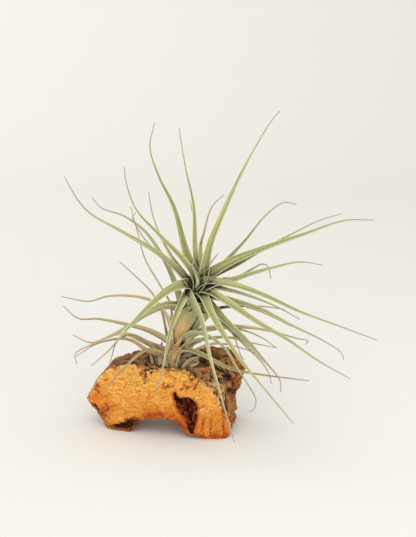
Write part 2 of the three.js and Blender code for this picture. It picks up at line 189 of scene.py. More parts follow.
def makeLeafGroup(speckle):
    # The tone of one leaf from its root to its thread-like tip, read from its own UV map
    tree, given, out = newGroup(
        "leafTone",
        [
            ("Outer", colourSocket, tint(185, 187, 150)),
            ("Inner", colourSocket, tint(150, 155, 95)),
            ("Margin", colourSocket, tint(215, 215, 170)),
            ("Root", colourSocket, tint(165, 155, 120)),
            ("Deep", colourSocket, tint(92, 86, 44)),
            ("Dry", colourSocket, tint(180, 145, 105)),
            ("Tip", colourSocket, tint(190, 155, 130)),
            ("Silver", valueSocket, 0.3),
        ],
        [("Color", colourSocket), ("Height", valueSocket)],
    )
    place = addNode(tree, 'ShaderNodeSeparateXYZ', {0: addNode(tree, 'ShaderNodeUVMap').outputs[0]})
    across, along = place.outputs[0], place.outputs[1]
    edge = calculate(tree, 'ABSOLUTE', calculate(tree, 'MULTIPLY_ADD', across, 2.0, -1.0))
    age = attribute(tree, "age")
    shade = attribute(tree, "shade")
    inside = attribute(tree, "inside")
    run = attribute(tree, "run")
    # Long streaks run with the leaf, each leaf with its own
    streakPlace = addNode(tree, 'ShaderNodeCombineXYZ', {
        0: multiply(tree, across, 5.0),
        1: multiply(tree, along, 2.5),
        2: multiply(tree, shade, 40.0),
    })
    streak = noiseAt(tree, streakPlace.outputs[0], 1.0, 3.0, 0.65)
    patch = noiseAt(tree, objectPlace(tree), 90.0, 2.0, 0.5)
    # The channel side has its own tone, strongest near the root, and its keel is darkened with painted
    # shade; the margins are pale
    hollow = multiply(tree, inside, remap(tree, run, 0.1, 0.8, 1.0, 0.5))
    colour = mixColours(tree, hollow, given['Outer'], given['Inner'])
    grooveShade = multiply(tree, hollow, remap(tree, edge, 0.05, 0.6, 0.4, 0.0))
    colour = mixColours(tree, grooveShade, colour, given['Deep'])
    margin = remap(tree, edge, 0.72, 0.96)
    margin = multiply(tree, margin, remap(tree, run, 0.02, 0.2, 0.2, 0.9))
    colour = mixColours(tree, margin, colour, given['Margin'])
    # Near the root the outer side goes pale and the channel side dark; that dark is partly the leaf's own
    # base and partly painted shade
    root = calculate(tree, 'MULTIPLY_ADD', inside, 0.12, 0.12)
    root = remap(tree, calculate(tree, 'DIVIDE', run, root), -0.3, 1.0, 0.95, 0.0)
    deep = mixColours(tree, inside, given['Root'], given['Deep'])
    colour = mixColours(tree, root, colour, deep)
    # Age dries a leaf from its tip down
    drySpread = calculate(tree, 'MULTIPLY_ADD', patch, 0.7, calculate(tree, 'SUBTRACT', age, 0.35))
    dry = multiply(tree, remap(tree, drySpread, 0.2, 0.95), 0.95)
    colour = mixColours(tree, dry, colour, given['Dry'])
    tipStart = calculate(tree, 'MULTIPLY_ADD', age, -0.3, 0.68)
    tip = calculate(tree, 'SUBTRACT', run, tipStart)
    tip = remap(tree, tip, 0.0, 0.28, 0.0, 0.9)
    colour = mixColours(tree, tip, colour, given['Tip'])
    dots = useGroup(tree, speckle, {'Size': 0.9, 'Cover': 0.75})['Mask']
    silver = multiply(tree, dots, given['Silver'])
    colour = mixColours(tree, silver, colour, tint(228, 226, 200))
    # The streaks and each piece's shade value set its brightness; a low shade value paints shade over the
    # whole piece
    light = calculate(tree, 'MULTIPLY_ADD', shade, 0.1, 0.27)
    light = calculate(tree, 'MULTIPLY_ADD', streak, 1.4, light)
    light = addNode(tree, 'ShaderNodeCombineColor', {0: light, 1: light, 2: light}).outputs[0]
    colour = mixColours(tree, 1.0, colour, light, 'MULTIPLY')
    # Painted shade, darkest where leaves stand close together and in the gaps between their bases
    closed = remap(tree, attribute(tree, "paintedShade"), 0.3, 0.9, 0.0, 0.95)
    colour = mixColours(tree, closed, colour, tint(28, 24, 14))
    feed(tree, out['Color'], colour)
    feed(tree, out['Height'], calculate(tree, 'MULTIPLY_ADD', dots, 0.4, streak))
    return tree


def leafMaterial(name, tones, roughness=0.62):
    material, tree, shader = newMaterial(name, {
        'Roughness': roughness,
        'Specular IOR Level': 0.25,
        'Sheen Weight': 0.1,
        'Sheen Roughness': 0.45,
    })
    made = useGroup(tree, leafTone, tones)
    feed(tree, shader.inputs['Base Color'], made['Color'])
    bumpInto(tree, shader, made['Height'], 0.25 * millimetre, 0.7)
    return material


speckleGroup = makeSpeckleGroup()
leafTone = makeLeafGroup(speckleGroup)
print("shader groups ready")


# Helpers for pieces

def focus(piece):
    bpy.ops.object.select_all(action='DESELECT')
    piece.select_set(True)
    bpy.context.view_layer.objects.active = piece


def pickVerts(piece, test):
    # In edit mode, selects the vertices whose place passes the test
    shape = bmesh.from_edit_mesh(piece.data)
    for vert in shape.verts:
        vert.select = test(vert.co)
    shape.select_flush(True)
    shape.select_flush(False)
    bmesh.update_edit_mesh(piece.data)


def pickEdges(piece, test):
    # In edit mode, selects the edges whose two ends pass the test
    bpy.ops.mesh.select_all(action='DESELECT')
    shape = bmesh.from_edit_mesh(piece.data)
    for line in shape.edges:
        line.select = test(line.verts[0].co, line.verts[1].co)
    bmesh.update_edit_mesh(piece.data)


def applyModifier(piece, kind, **settings):
    focus(piece)
    modifier = piece.modifiers.new(kind.lower(), kind)
    for name, value in settings.items():
        setattr(modifier, name, value)
    bpy.ops.object.modifier_apply(modifier=modifier.name)


def readPlaces(piece):
    places = np.empty(len(piece.data.vertices) * 3)
    piece.data.vertices.foreach_get("co", places)
    return places.reshape(-1, 3)


def writePlaces(piece, places):
    piece.data.vertices.foreach_set("co", np.ascontiguousarray(places, dtype=np.float32).ravel())
    piece.data.update()


def settle(piece, places):
    # Places in millimetres go onto the piece in metres, brought over the origin
    writePlaces(piece, (places + np.array(standOffset)) * millimetre)


def setValues(piece, name, values):
    # One value for each vertex, or one for all
    layer = piece.data.attributes.get(name) or piece.data.attributes.new(name, 'FLOAT', 'POINT')
    layer.data.foreach_set("value", np.full(len(piece.data.vertices), values, dtype=np.float32))


def finishPiece(piece, name, material, slot, *nodes):
    piece.name = name
    piece.data.name = name
    piece.data.materials.clear()
    piece.data.materials.append(material)
    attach(piece, "root")
    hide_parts(*nodes)
    print(name, "has", sum(len(face.vertices) - 2 for face in piece.data.polygons), "triangles")


def placeAtDepth(across, height, depth):
    # The point at a given depth that shows at this place in the front view
    cos = math.cos(sight["elevation"])
    sin = math.sin(sight["elevation"])
    eye = sight["aim"] + sight["distance"] * Vector((0, -cos, sin))
    rise = height - sight["aimHeight"]
    shown = sight["aim"] + Vector((across - sight["aim"].x, rise * sin, rise * cos))
    return eye.lerp(shown, (depth - eye.y) / (shown.y - eye.y))


def smoothCourse(points, count):
    # Evenly spaced places and headings on a smooth line through the points
    knots = [2 * points[0] - points[1], *points, 2 * points[-1] - points[-2]]
    line = []
    for a, b, c, d in zip(knots, knots[1:], knots[2:], knots[3:]):
        ab, bc, cd = (max((q - p).length, 1e-6) ** 0.5 for p, q in ((a, b), (b, c), (c, d)))
        leaving = ((b - a) / ab - (c - a) / (ab + bc) + (c - b) / bc) * bc
        reaching = ((c - b) / bc - (d - b) / (bc + cd) + (d - c) / cd) * bc
        for t in np.linspace(0, 1, 24, endpoint=False):
            line.append(
                b * (2 * t**3 - 3 * t**2 + 1) + leaving * (t**3 - 2 * t**2 + t)
                + c * (3 * t**2 - 2 * t**3) + reaching * (t**3 - t**2)
            )
    line.append(points[-1])
    line = np.array([tuple(spot) for spot in line])
    walked = np.append(0, np.cumsum(np.linalg.norm(np.diff(line, axis=0), axis=1)))
    even = np.linspace(0, walked[-1], count)
    places = np.stack([np.interp(even, walked, line[:, axis]) for axis in range(3)], axis=1)
    headings = np.gradient(places, axis=0)
    headings /= np.linalg.norm(headings, axis=1, keepdims=True)
    return places, headings


def carryNormals(headings, facing):
    # The side that faces a given way at the root, kept square to the line all along it
    normal = np.array(facing, dtype=float)
    normals = []
    for heading in headings:
        normal = normal - heading * normal.dot(heading)
        normal /= np.linalg.norm(normal)
        normals.append(normal)
    return np.array(normals)


def noiseField(places, size, seed, octaves=1):
    # Smooth noise from -1 to 1 over the places, with one size or a size for each axis
    scaled = places / np.array(size) + seed * 17.3
    if octaves == 1:
        return np.array([noise.noise(Vector(spot)) for spot in scaled])
    return np.array([noise.fractal(Vector(spot), 0.8, 2.0, octaves) for spot in scaled])


def markPaintedShade(piece, reach, wayCount=24):
    # How much of the way out from each vertex is closed off by what stands close by, kept for painting
    # shade into the leaf tone
    corners = [vert.co for vert in piece.data.vertices]
    tree = bvhtree.BVHTree.FromPolygons(corners, [tuple(face.vertices) for face in piece.data.polygons])
    ways = []
    for step in range(wayCount):
        turn = step * goldenAngle
        rise = 1 - (2 * step + 1) / wayCount
        flat = math.sqrt(1 - rise * rise)
        ways.append(Vector((flat * math.cos(turn), flat * math.sin(turn), rise)))
    paintedShade = []
    for vert in piece.data.vertices:
        outward = [way for way in ways if way.dot(vert.normal) > 0.2]
        start = vert.co + vert.normal * 0.3 * millimetre
        blocked = [way for way in outward if tree.ray_cast(start, way, reach * millimetre)[0]]
        paintedShade.append(len(blocked) / len(outward))
    setValues(piece, "paintedShade", paintedShade)


# Leaf blade and stem core, each modelled once

blade = {
    "columns": 10,
    "rings": 56,
    "tipWidth": 0.5,
    "taper": 1.5,
    "rootFlare": 0.4,
    "flareReach": 0.16,
    "fold": (1.25, 1.05, 1.2, 1.3, 1.4, 1.5),
    "footNarrowing": 0.4,
    "thickness": 0.8,
    "lip": 0.012,
    "twist": 0.5,
    "smoothAngle": math.radians(50),
    "shadeReach": 13,
    "crumple": {"sheath": 0.25, "boat": 0.7},
    # The stretch of a leaf's tones, from its root at 0 to its tip at 1, that each form shows
    "tones": {"leaf": (0, 1), "sheath": (0.14, 0.44), "boat": (-0.03, 0.06)},
    "coreLumps": 0.25,
    "coreSides": 20,
}


def makeBladeTemplate():
    bpy.ops.mesh.primitive_grid_add(
        x_subdivisions=blade["columns"], y_subdivisions=blade["rings"], size=1, calc_uvs=True,
    )
    template = bpy.context.object
    bpy.ops.object.mode_set(mode='EDIT')
    bpy.ops.mesh.select_mode(type='VERT')
    # The columns beside the margins go out, so that each margin is a narrow strip
    pickVerts(template, lambda spot: 0.35 < abs(spot.x) < 0.45)
    bpy.ops.transform.resize(value=(1.13, 1, 1))
    # The margins stand up as a thin lip, and a shallow groove runs down the middle
    pickVerts(template, lambda spot: abs(spot.x) > 0.49)
    bpy.ops.transform.translate(value=(0, 0, blade["lip"]))
    pickVerts(template, lambda spot: abs(spot.x) < 0.02)
    bpy.ops.transform.translate(value=(0, 0, -blade["lip"]))
    bpy.ops.object.mode_set(mode='OBJECT')
    places = readPlaces(template)
    weights = (1 - 0.65 * (2 * abs(places[:, 0])) ** 2) * (1 - 0.45 * (places[:, 1] + 0.5))
    group = template.vertex_groups.new(name="body")
    for index, weight in enumerate(weights):
        group.add([index], weight, 'REPLACE')
    for name in ("age", "shade", "run"):
        setValues(template, name, 0)
    return template


def makeCoreTemplate():
    bpy.ops.mesh.primitive_cylinder_add(vertices=blade["coreSides"], radius=1, depth=1, calc_uvs=True)
    template = bpy.context.object
    bpy.ops.object.mode_set(mode='EDIT')
    bpy.ops.mesh.select_mode(type='EDGE')
    pickEdges(template, lambda a, b: abs(a.z - b.z) > 0.5)
    bpy.ops.mesh.subdivide(number_cuts=11)
    bpy.ops.object.mode_set(mode='OBJECT')
    group = template.vertex_groups.new(name="body")
    group.add(list(range(len(template.data.vertices))), 1, 'REPLACE')
    return template


def copyPiece(template):
    piece = template.copy()
    piece.data = template.data.copy()
    bpy.context.collection.objects.link(piece)
    return piece


def bladeWidth(share, width, form, clasp):
    # A leaf narrows all the way to a thread, a sheath closes to a point, a boat widens upwards
    if form == "sheath":
        return 0.5 + width * (1 - share**2.6) ** 0.75 * (0.82 + 0.18 * softStep(share, 0, 0.3))
    if form == "boat":
        return width * (0.22 + 0.78 * softStep(share, 0, 0.6)) * (1 - 0.25 * softStep(share, 0.75, 1))
    free = np.clip((share - clasp) / (1 - clasp), 0, 1)
    flare = width * blade["rootFlare"] * np.clip(1 - free / blade["flareReach"], 0, 1) ** 2
    narrow = 1 - blade["footNarrowing"] * softStep(-share, -clasp, 0)
    return narrow * (blade["tipWidth"] + (width - blade["tipWidth"]) * (1 - free) ** blade["taper"] + flare)


def foldedSection(across, bend):
    # Side and rise of a channel whose walls steepen quickly from its keel, for an arc width of 2
    turn = bend * np.sqrt(np.abs(across))
    side = 2 * (turn * np.sin(turn) + np.cos(turn) - 1) / bend**2
    rise = 2 * (np.sin(turn) - turn * np.cos(turn)) / bend**2
    return np.sign(across) * side, rise


def roundSection(across, bend):
    return np.sin(across * bend) / bend, (1 - np.cos(across * bend)) / bend


def layBlade(course, width, facing, age, form="leaf", wrap=None, twist=0.0, shade=None, clasp=0.0):
    # A copy of the blade carried along its course, its channel open to the side it faces
    piece = copyPiece(bladeTemplate)
    places = readPlaces(piece)
    heights = np.unique(np.round(places[:, 1], 4))
    spots, headings = smoothCourse(course, len(heights))
    normals = carryNormals(headings, facing)
    share = places[:, 1] + 0.5
    ring = np.searchsorted(heights, np.round(places[:, 1], 4))
    turned = twist * share[:, None] ** 1.5
    heading, normal = headings[ring], normals[ring]
    sideways = np.cross(heading, normal)
    sideways, normal = (
        sideways * np.cos(turned) + normal * np.sin(turned),
        normal * np.cos(turned) - sideways * np.sin(turned),
    )
    wide = bladeWidth(share, width, form, clasp)
    if form == "leaf":
        bend = readAlong(blade["fold"], share)
        side, rise = foldedSection(2 * places[:, 0], bend)
        half = wide / (2 * foldedSection(np.ones(1), np.array([1.0]))[0])
    else:
        bend = readAlong(wrap, share)
        side, rise = roundSection(2 * places[:, 0], bend)
        half = wide / 2
    side = half * side
    rise = half * rise + places[:, 2] * wide
    laid = spots[ring] + sideways * side[:, None] + normal * rise[:, None]
    if form != "leaf":
        laid += normal * (blade["crumple"][form] * noiseField(laid, (3, 3, 7), 41, 2))[:, None]
    settle(piece, laid)
    free = (share - clasp) / (1 - clasp)
    start, end = blade["tones"][form]
    setValues(piece, "run", start + (end - start) * free)
    setValues(piece, "age", readAlong(np.atleast_1d(age), share))
    setValues(piece, "shade", chance.uniform(-1, 1) if shade is None else shade)
    return piece


def layCore(points, radii, age, shade=-3, inside=1.0):
    # A closed round core carried along its course, with a slightly uneven skin; its low shade value by
    # default paints it near black, as painted shade in the gaps between the leaf bases
    piece = copyPiece(coreTemplate)
    places = readPlaces(piece)
    heights = np.unique(np.round(places[:, 2], 4))
    spots, headings = smoothCourse(points, len(heights))
    normals = carryNormals(headings, (1, 0, 0))
    ring = np.searchsorted(heights, np.round(places[:, 2], 4))
    radius = readAlong(radii, places[:, 2] + 0.5)
    sideways = np.cross(headings, normals)
    outward = normals[ring] * places[:, 0:1] + sideways[ring] * places[:, 1:2]
    laid = spots[ring] + outward * radius[:, None]
    uneven = np.array([noise.noise(Vector(spot) * 0.45) for spot in laid])
    laid += outward * (blade["coreLumps"] * uneven)[:, None]
    settle(piece, laid)
    for name, value in (("age", age), ("shade", shade), ("run", -0.1), ("inside", inside)):
        setValues(piece, name, value)
    for corner in piece.data.uv_layers.active.data:
        corner.uv = (0.5, 0.1)
    return piece


def joinPieces(pieces):
    focus(pieces[0])
    for piece in pieces[1:]:
        piece.select_set(True)
    if len(pieces) > 1:
        bpy.ops.object.join()
    return bpy.context.object


def thicken(blades, thickness):
    # Joins thin blades and gives them their body; the channel side is marked for its own tone
    joined = joinPieces(blades)
    channelSide = len(joined.data.vertices)
    applyModifier(
        joined, 'SOLIDIFY', thickness=thickness * millimetre, offset=0,
        vertex_group="body", thickness_vertex_group=0, use_rim=True,
    )
    inside = np.zeros(len(joined.data.vertices))
    inside[:channelSide] = 1
    setValues(joined, "inside", inside)
    return joined


def courseInDepth(course, depths):
    # Points drawn in the front view, each brought to its own depth
    reached = readAlong(depths, np.linspace(0, 1, len(course)))
    return [placeAtDepth(across, height, depth) for (across, height), depth in zip(course, reached)]


def shootBlades(axis, radii, leaves, claspDown):
    # Each leaf clasps the shoot below the point where it bends away from it
    spots, headings = smoothCourse(axis, 101)
    blades = []
    for at, width, depths, age, course in leaves:
        points = courseInDepth(course, depths)
        twist = chance.uniform(-1, 1) * blade["twist"]
        if isinstance(at, tuple):
            # This one stands by itself, and its row starts with the side that it faces
            blades.append(layBlade(points, width, at, age, twist=twist, clasp=0.05))
            continue
        root = round(at * 100)
        foot = max(root - round(claspDown * 100), 0)
        heading = Vector(headings[root])
        outward = points[0] - Vector(spots[root])
        outward = (outward - heading * outward.dot(heading)).normalized()
        held = [
            Vector(spots[round(step)]) + outward * readAlong(radii, step / 100) * 0.85
            for step in np.linspace(foot, root, 3)
        ]
        reach = sum((b - a).length for a, b in zip(points, points[1:]))
        clasp = (held[-1] - held[0]).length
        blades.append(layBlade(
            held + points, width, -outward, age, twist=twist, clasp=clasp / (clasp + reach),
        ))
    return blades


def claspAxis(axisPoints, start, end, turn, reach, width, age, wrap=(1.5, 1.4, 1.1), shade=None):
    # A sheath that hugs an axis on the side given by the turn, and lets go towards its tip
    spots, headings = smoothCourse(axisPoints, 101)
    normals = carryNormals(headings, (1, 0, 0))

    def outwardAt(share):
        index = round(share * 100)
        sideways = np.cross(headings[index], normals[index])
        return Vector(normals[index] * math.cos(turn) + sideways * math.sin(turn))

    def spot(share, distance):
        return Vector(spots[round(share * 100)]) + outwardAt(share) * distance

    steps = np.linspace(start, end, len(reach))
    course = [spot(share, distance) for share, distance in zip(steps, reach)]
    return layBlade(course, width, -outwardAt(start), age, "sheath", wrap, shade=shade)


chance = random.Random(7)
bladeTemplate = makeBladeTemplate()
coreTemplate = makeCoreTemplate()
print("blade and core modelled")

# The three shoots. Their rows give:
#   leaves: share of the axis or side faced, width, depths, age, course seen from the front
#   sheaths, which clasp the axis: start, end, turn, reach, width, age along it
#   boats, the broad sheaths under a crown, and straps: width, depths, age, course from the foot
# An age is 0 on a fresh leaf and 1 on a dry one, and a low shade darkens: the low shades of the cores and
# of the side shoots' sheaths and boats are painted shade in the gaps between them.
crown = {
    "sheathShade": 0.2,
    "boatShade": -0.2,
    "axis": [(-22.1, -7.2, 82.3), (-15.8, -28, 111.6)],
    "coreRadii": (5.4, 5.4, 4.4, 3.2, 1.4),
    "coreAge": 0.25,
    "claspDown": 0.3,
    "leaves": [
        (0.7, 7.4, (-24, 20), 0.1, [
            (-24, 109), (-42, 127), (-69, 144), (-91, 157), (-100, 167), (-109, 183),
        ]),
        ((0.5, 1, 0.2), 6, (-8, 60), 0.2, [
            (-28, 88), (-30.5, 101), (-34, 112), (-40, 125),
            (-52, 143.5), (-67, 155), (-83, 161), (-89.5, 168),
        ]),
        (0.8, 6.8, (-27, -8), 0.1, [
            (-18, 111), (-27, 125), (-43, 142), (-59, 160), (-66, 180), (-67, 190),
        ]),
        (0.6, 5, (-20, 60), 0.2, [(-24, 111), (-34, 126), (-41, 139), (-47, 155), (-50, 172)]),
        (0.5, 3.6, (-19, 50), 0.3, [(-26, 112), (-40, 126), (-52, 138), (-61, 153), (-59, 158)]),
        (0.8, 7.6, (-22, 60), 0.1, [
            (-16, 109), (-24, 131), (-32, 160), (-43, 183), (-49, 203), (-46, 220.5),
        ]),
        (0.85, 5.8, (-21, 55), 0.15, [
            (-15, 109), (-17.5, 133), (-18.5, 162), (-24, 188), (-27.5, 209), (-28.5, 217),
        ]),
        (0.85, 4.8, (-25, 50), 0.35, [(-12.5, 109), (-13, 134), (-11, 143), (-6, 161), (2.5, 170)]),
        (0.8, 9.4, (-24, 25), 0.0, [(-11, 109), (-6, 134), (5, 162), (19, 192.5), (35.5, 221), (42, 229)]),
        (0.6, 5, (-21, 40), 0.3, [(-10.5, 111), (-7, 121), (-1, 129.5)]),
        (0.64, 5.6, (-21, 50), 0.1, [
            (-10, 109), (5, 124), (18, 138), (31.5, 155), (44, 164.5), (53.5, 163.5),
        ]),
        (0.78, 9.8, (-24.5, 0), 0.05, [
            (-9, 111), (7, 121.5), (34, 133), (60, 142.5), (87, 152), (108, 152.5),
        ]),
        (0.6, 5.4, (-22, 30), 0.15, [(-9, 110), (12, 121), (34, 134), (51, 143), (69, 152), (85, 157)]),
        (0.66, 8.6, (-26.5, 10), 0.0, [(-5, 106), (5, 108), (20, 113.5), (38, 119), (56, 123), (72, 121)]),
        (0.45, 4, (-21.5, 40), 0.45, [
            (-8, 108), (11, 112), (24, 119), (29, 121.5), (33.5, 120), (35.5, 111.5),
        ]),
        (0.72, 7, (-28, -30), 0.05, [
            (-10.5, 108.5), (7, 107), (29, 100), (56, 88), (82.5, 78.5), (110, 68.5),
        ]),
        (0.58, 6, (-26, -8), 0.1, [(-9, 104.5), (7, 102.5), (22, 98.5), (40, 91.5), (56, 83)]),
        (0.25, 4, (-14, -12), 0.3, [(-10.5, 88), (3, 91), (29.5, 92), (45, 90)]),
        (0.4, 7, (-20, -20), 0.1, [
            (-9, 98.5), (5, 96), (29, 89), (50, 78.5), (72, 68), (85, 59.5), (86.5, 54.5),
        ]),
        (0.5, 8.8, (-28, -50), 0.05, [
            (-10.5, 102), (4, 94.5), (25, 81), (47, 68.5), (68.5, 54), (91, 41.5),
        ]),
        (0.35, 9, (-22, -40), 0.15, [(-12, 95), (4, 80.5), (18, 68), (32.5, 52), (42, 40), (42.5, 32)]),
        (0.25, 4, (-18, -30), 0.5, [(-12, 93), (0, 80), (8.5, 73), (14.5, 58), (17, 54.5)]),
        (0.3, 4.4, (-19, -24), 0.4, [(-12, 94), (3, 79), (17, 65), (30, 52), (35, 43), (36, 38)]),
        (0.6, 7.8, (-30, -70), 0.05, [(-13, 99.5), (-6, 85.5), (4, 69), (16, 52), (32, 33), (51.5, 10)]),
        (0.5, 9.8, (-26, -75), 0.05, [
            (-23, 99.5), (-15.5, 85.5), (-11.5, 73), (-8, 57), (-1, 33.5), (10, -3),
        ]),
        (0.5, 8.2, (-27, -60), 0.2, [(-24, 101), (-29, 93), (-35.5, 75), (-40, 51), (-45, 29.5)]),
        (0.3, 4.4, (-18, -38), 0.4, [(-21, 92), (-27, 88), (-33, 76.5), (-34, 70.5)]),
        (0.95, 4, (-30, -26), 0.15, [(-16, 109), (-17.5, 115), (-19.5, 121), (-17.5, 124)]),
        (0.6, 9, (-26, -40), 0.1, [(-23, 107), (-34, 104), (-48, 93), (-62, 79), (-78, 61), (-90, 50.5)]),
        (0.2, 7, (-14, -34), 0.25, [
            (-24.5, 89.5), (-36, 92.5), (-51, 87), (-64.5, 77.5), (-85.5, 67), (-101.5, 58.5), (-100, 52),
        ]),
        (0.3, 5.4, (-6, 48), 0.3, [(-24.5, 89.5), (-36, 92), (-51, 86), (-64, 77)]),
        (0.5, 6, (-14, 46), 0.2, [(-23, 106), (-34, 103), (-48, 92.5), (-62, 78.5)]),
        (0.35, 5.6, (-8, 52), 0.25, [(-9, 97), (5, 95), (29, 88), (50, 78)]),
        (0.3, 5.6, (-6, 44), 0.3, [(-12, 93), (3, 80), (17, 67), (31, 53)]),
        (0.15, 5, (4, 46), 0.4, [(-19, 92), (-20, 82), (-22, 67), (-24, 54)]),
        (0.75, 5.4, (-16, 60), 0.15, [(-15, 110), (-17.5, 132), (-18.5, 152), (-21, 166)]),
        (0.2, 5, (-4, 60), 0.3, [(-14, 100), (-7, 88), (3, 70), (12, 57)]),
    ],
    "sheaths": [
        (0.0, 0.6, 0.1, (5.6, 6.6, 8.0), 12, (0.6, 0.3)),
        (0.0, 0.6, 1.5, (5.6, 6.6, 8.5), 13, (0.6, 0.3)),
    ],
    "boats": [
        (14.5, (-5.5, -20), (1.3, 1.0, 0.55, 0.25), [(-33.5, 60), (-31, 70), (-26, 81), (-19, 91.5)]),
        (12, (-9, -17), (0.5, 0.25), [(-20, 73.5), (-17, 80), (-13, 87), (-9, 93)]),
    ],
    "straps": [],
}
leftShoot = {
    "sheathShade": -3,
    "axis": [(-39, -3, 37), (-39, -3, 44), (-37, -5, 52), (-34, -7, 60)],
    "coreRadii": (3.0, 3.2, 2.8, 1.6),
    "coreAge": 0.7,
    "claspDown": 0.85,
    "leaves": [
        (0.9, 3.4, (-9, 26), 0.45, [
            (-36, 66), (-34.5, 80), (-35, 93), (-43.5, 109), (-52.5, 125), (-57.5, 143), (-62.5, 162),
        ]),
        (0.8, 3.8, (-7, 30), 0.55, [
            (-36, 62), (-38, 73), (-41.5, 89.5), (-48, 101.5), (-57.5, 111.5), (-70.5, 123.5),
        ]),
        (0.6, 6, (-10, -45), 0.4, [(-38.5, 57.5), (-48, 61), (-55, 59), (-68.5, 47), (-82.5, 31)]),
        (0.75, 8, (-8, 4), 0.35, [
            (-35, 63.5), (-48, 73), (-66.5, 79), (-85.5, 83), (-99, 83.5), (-110, 92.5),
        ]),
        (0.9, 6.8, (-9, 20), 0.3, [
            (-35, 74), (-38.5, 86), (-46.5, 94.5), (-59, 98.5), (-78, 99), (-92, 95.5), (-111, 99),
        ]),
        (0.5, 5.4, (-9, -28), 0.75, [
            (-42, 57.5), (-59.5, 71.5), (-69, 70), (-73, 65.5), (-75.5, 57.5), (-77.5, 51),
        ]),
        (0.6, 8.6, (-7, 14), 0.6, [
            (-38.5, 58), (-51, 65), (-64.5, 71.5), (-73, 72), (-90, 66.5), (-103, 72),
        ]),
        (0.45, 8.4, (-8, -22), 0.68, [
            (-40.5, 56), (-51, 60), (-61, 67), (-69, 69), (-85.5, 66), (-101, 57),
        ]),
    ],
    "sheaths": [
        (0.0, 0.8, 2.4, (3.4, 4.2, 6.5), 5, (1.2, 0.7)),
        (0.0, 0.75, -2.4, (3.4, 3.6, 4.5), 4, (1.2, 0.6)),
        (0.0, 0.9, 0.9, (3.4, 4.0, 5.0), 5, (1.2, 0.7)),
        (0.0, 0.6, -0.9, (3.2, 3.8, 5.0), 3.4, (1.3, 0.8)),
    ],
    "boats": [],
    "straps": [
        (2.4, (-11, -6), 0.6, [(-45.5, 42), (-47, 51), (-48.5, 58), (-51, 63)]),
        (2, (-9, -5), 0.9, [(-42, 42), (-43.5, 51), (-46, 58), (-48, 62)]),
        (3.8, (-12, -6), 0.8, [(-39.5, 42), (-40.5, 51), (-42, 59), (-40.5, 67.5)]),
        (1.8, (-11, -7), 0.4, [(-42, 42), (-42.3, 51), (-43, 57), (-42, 61)]),
        (3.4, (-12, -7), 0.4, [(-37, 42), (-38, 51), (-38, 59), (-37, 67)]),
    ],
}
rightShoot = {
    "sheathShade": -3,
    "boatShade": -2.4,
    "axis": [(-19, -10, 38), (-19, -10, 45), (-20.5, -10, 53), (-21.5, -10.5, 61)],
    "coreRadii": (3.0, 3.2, 2.8, 1.6),
    "coreAge": 0.5,
    "claspDown": 0.85,
    "leaves": [
        ((-1, 0.5, 0.6), 11.5, (-3, -4, -8, -10, -8, -3, 6), 0.15, [
            (-30, 55), (-27.5, 63.5), (-22, 70.5), (-12.5, 74), (11, 77),
            (32.5, 75), (54, 69.5), (61.5, 68), (60, 65.5),
        ]),
        (0.9, 5, (-12, -8), 0.3, [(-21, 68), (-3.5, 76), (14, 75.5), (28.5, 70.5), (39.5, 63)]),
        (0.8, 5.2, (-12, -20), 0.25, [(-21, 65), (-10.5, 68.5), (5.5, 70), (21.5, 66.5), (40, 63)]),
        (0.7, 4.8, (-13, -28), 0.5, [(-17.5, 60), (-7, 65), (3, 65.5), (16, 62.5), (24, 59.5)]),
        (0.85, 4, (-13, -18), 0.8, [(-21.5, 62), (-17, 66), (-13, 67)]),
        ((-0.8, 0.3, 1), 6.6, (-6, -13, -22, -25, -26, -25, -24), 0.2, [
            (-33, 51), (-30.5, 57.5), (-23, 60.6), (-12, 57),
            (3, 49.5), (15.5, 46), (32.5, 43.5), (62.5, 40),
        ]),
    ],
    "sheaths": [
        (0.0, 0.8, -2.2, (3.4, 4.6, 6.5), 8, (0.9, 0.4)),
        (0.0, 0.85, -0.5, (3.4, 4.6, 7.0), 8, (0.9, 0.4)),
        (0.0, 0.9, 1.2, (3.4, 4.2, 5.5), 7, (0.9, 0.5)),
        (0.0, 0.9, 2.8, (3.4, 4.2, 5.5), 7, (0.9, 0.5)),
    ],
    "boats": [
        (9, (-9, -14), (0.7, 0.5), [(-31, 44), (-30, 50), (-26, 55.5), (-20, 58.5)]),
        (8, (-11, -16), (0.8, 0.5), [(-27.5, 42), (-26, 47.5), (-22, 52), (-15.5, 55)]),
        (7, (-5, -8), (0.7, 0.5), [(-34, 45), (-33, 52), (-29, 60), (-22, 66)]),
    ],
    "straps": [
        (3, (-14, -17), 0.7, [(-27, 45), (-24.5, 51), (-20, 55), (-14, 57)]),
        (2.4, (-15, -18), 0.5, [(-24, 44), (-20.5, 49.5), (-15, 52.5)]),
        (2.2, (-13, -14), 0.3, [(-31, 45), (-30.5, 52), (-28, 57.5)]),
    ],
}


def makeShoot(shoot, name, material, slot, node):
    axis = [Vector(point) for point in shoot["axis"]]
    sheaths = [
        claspAxis(axis, start, end, turn, reach, width, age, shade=shoot["sheathShade"])
        for start, end, turn, reach, width, age in shoot["sheaths"]
    ]
    for width, depths, age, course in shoot["boats"]:
        sheaths.append(layBlade(
            courseInDepth(course, depths), width, (0.3, 1, -0.3), age, "boat", (1.2, 1.1, 0.95),
            shade=shoot["boatShade"],
        ))
    for width, depths, age, course in shoot["straps"]:
        points = courseInDepth(course, depths)
        sheaths.append(layBlade(points, width, (0, 1, 0.2), age, "sheath", (1.1, 0.9, 0.8), shade=0))
    blades = shootBlades(axis, shoot["coreRadii"], shoot["leaves"], shoot["claspDown"])
    leaves = thicken(blades + sheaths, blade["thickness"])
    joined = joinPieces([leaves, layCore(axis, shoot["coreRadii"], shoot["coreAge"])])
    bpy.ops.object.shade_smooth_by_angle(angle=blade["smoothAngle"])
    markPaintedShade(joined, blade["shadeReach"])
    finishPiece(joined, name, material, slot, node)


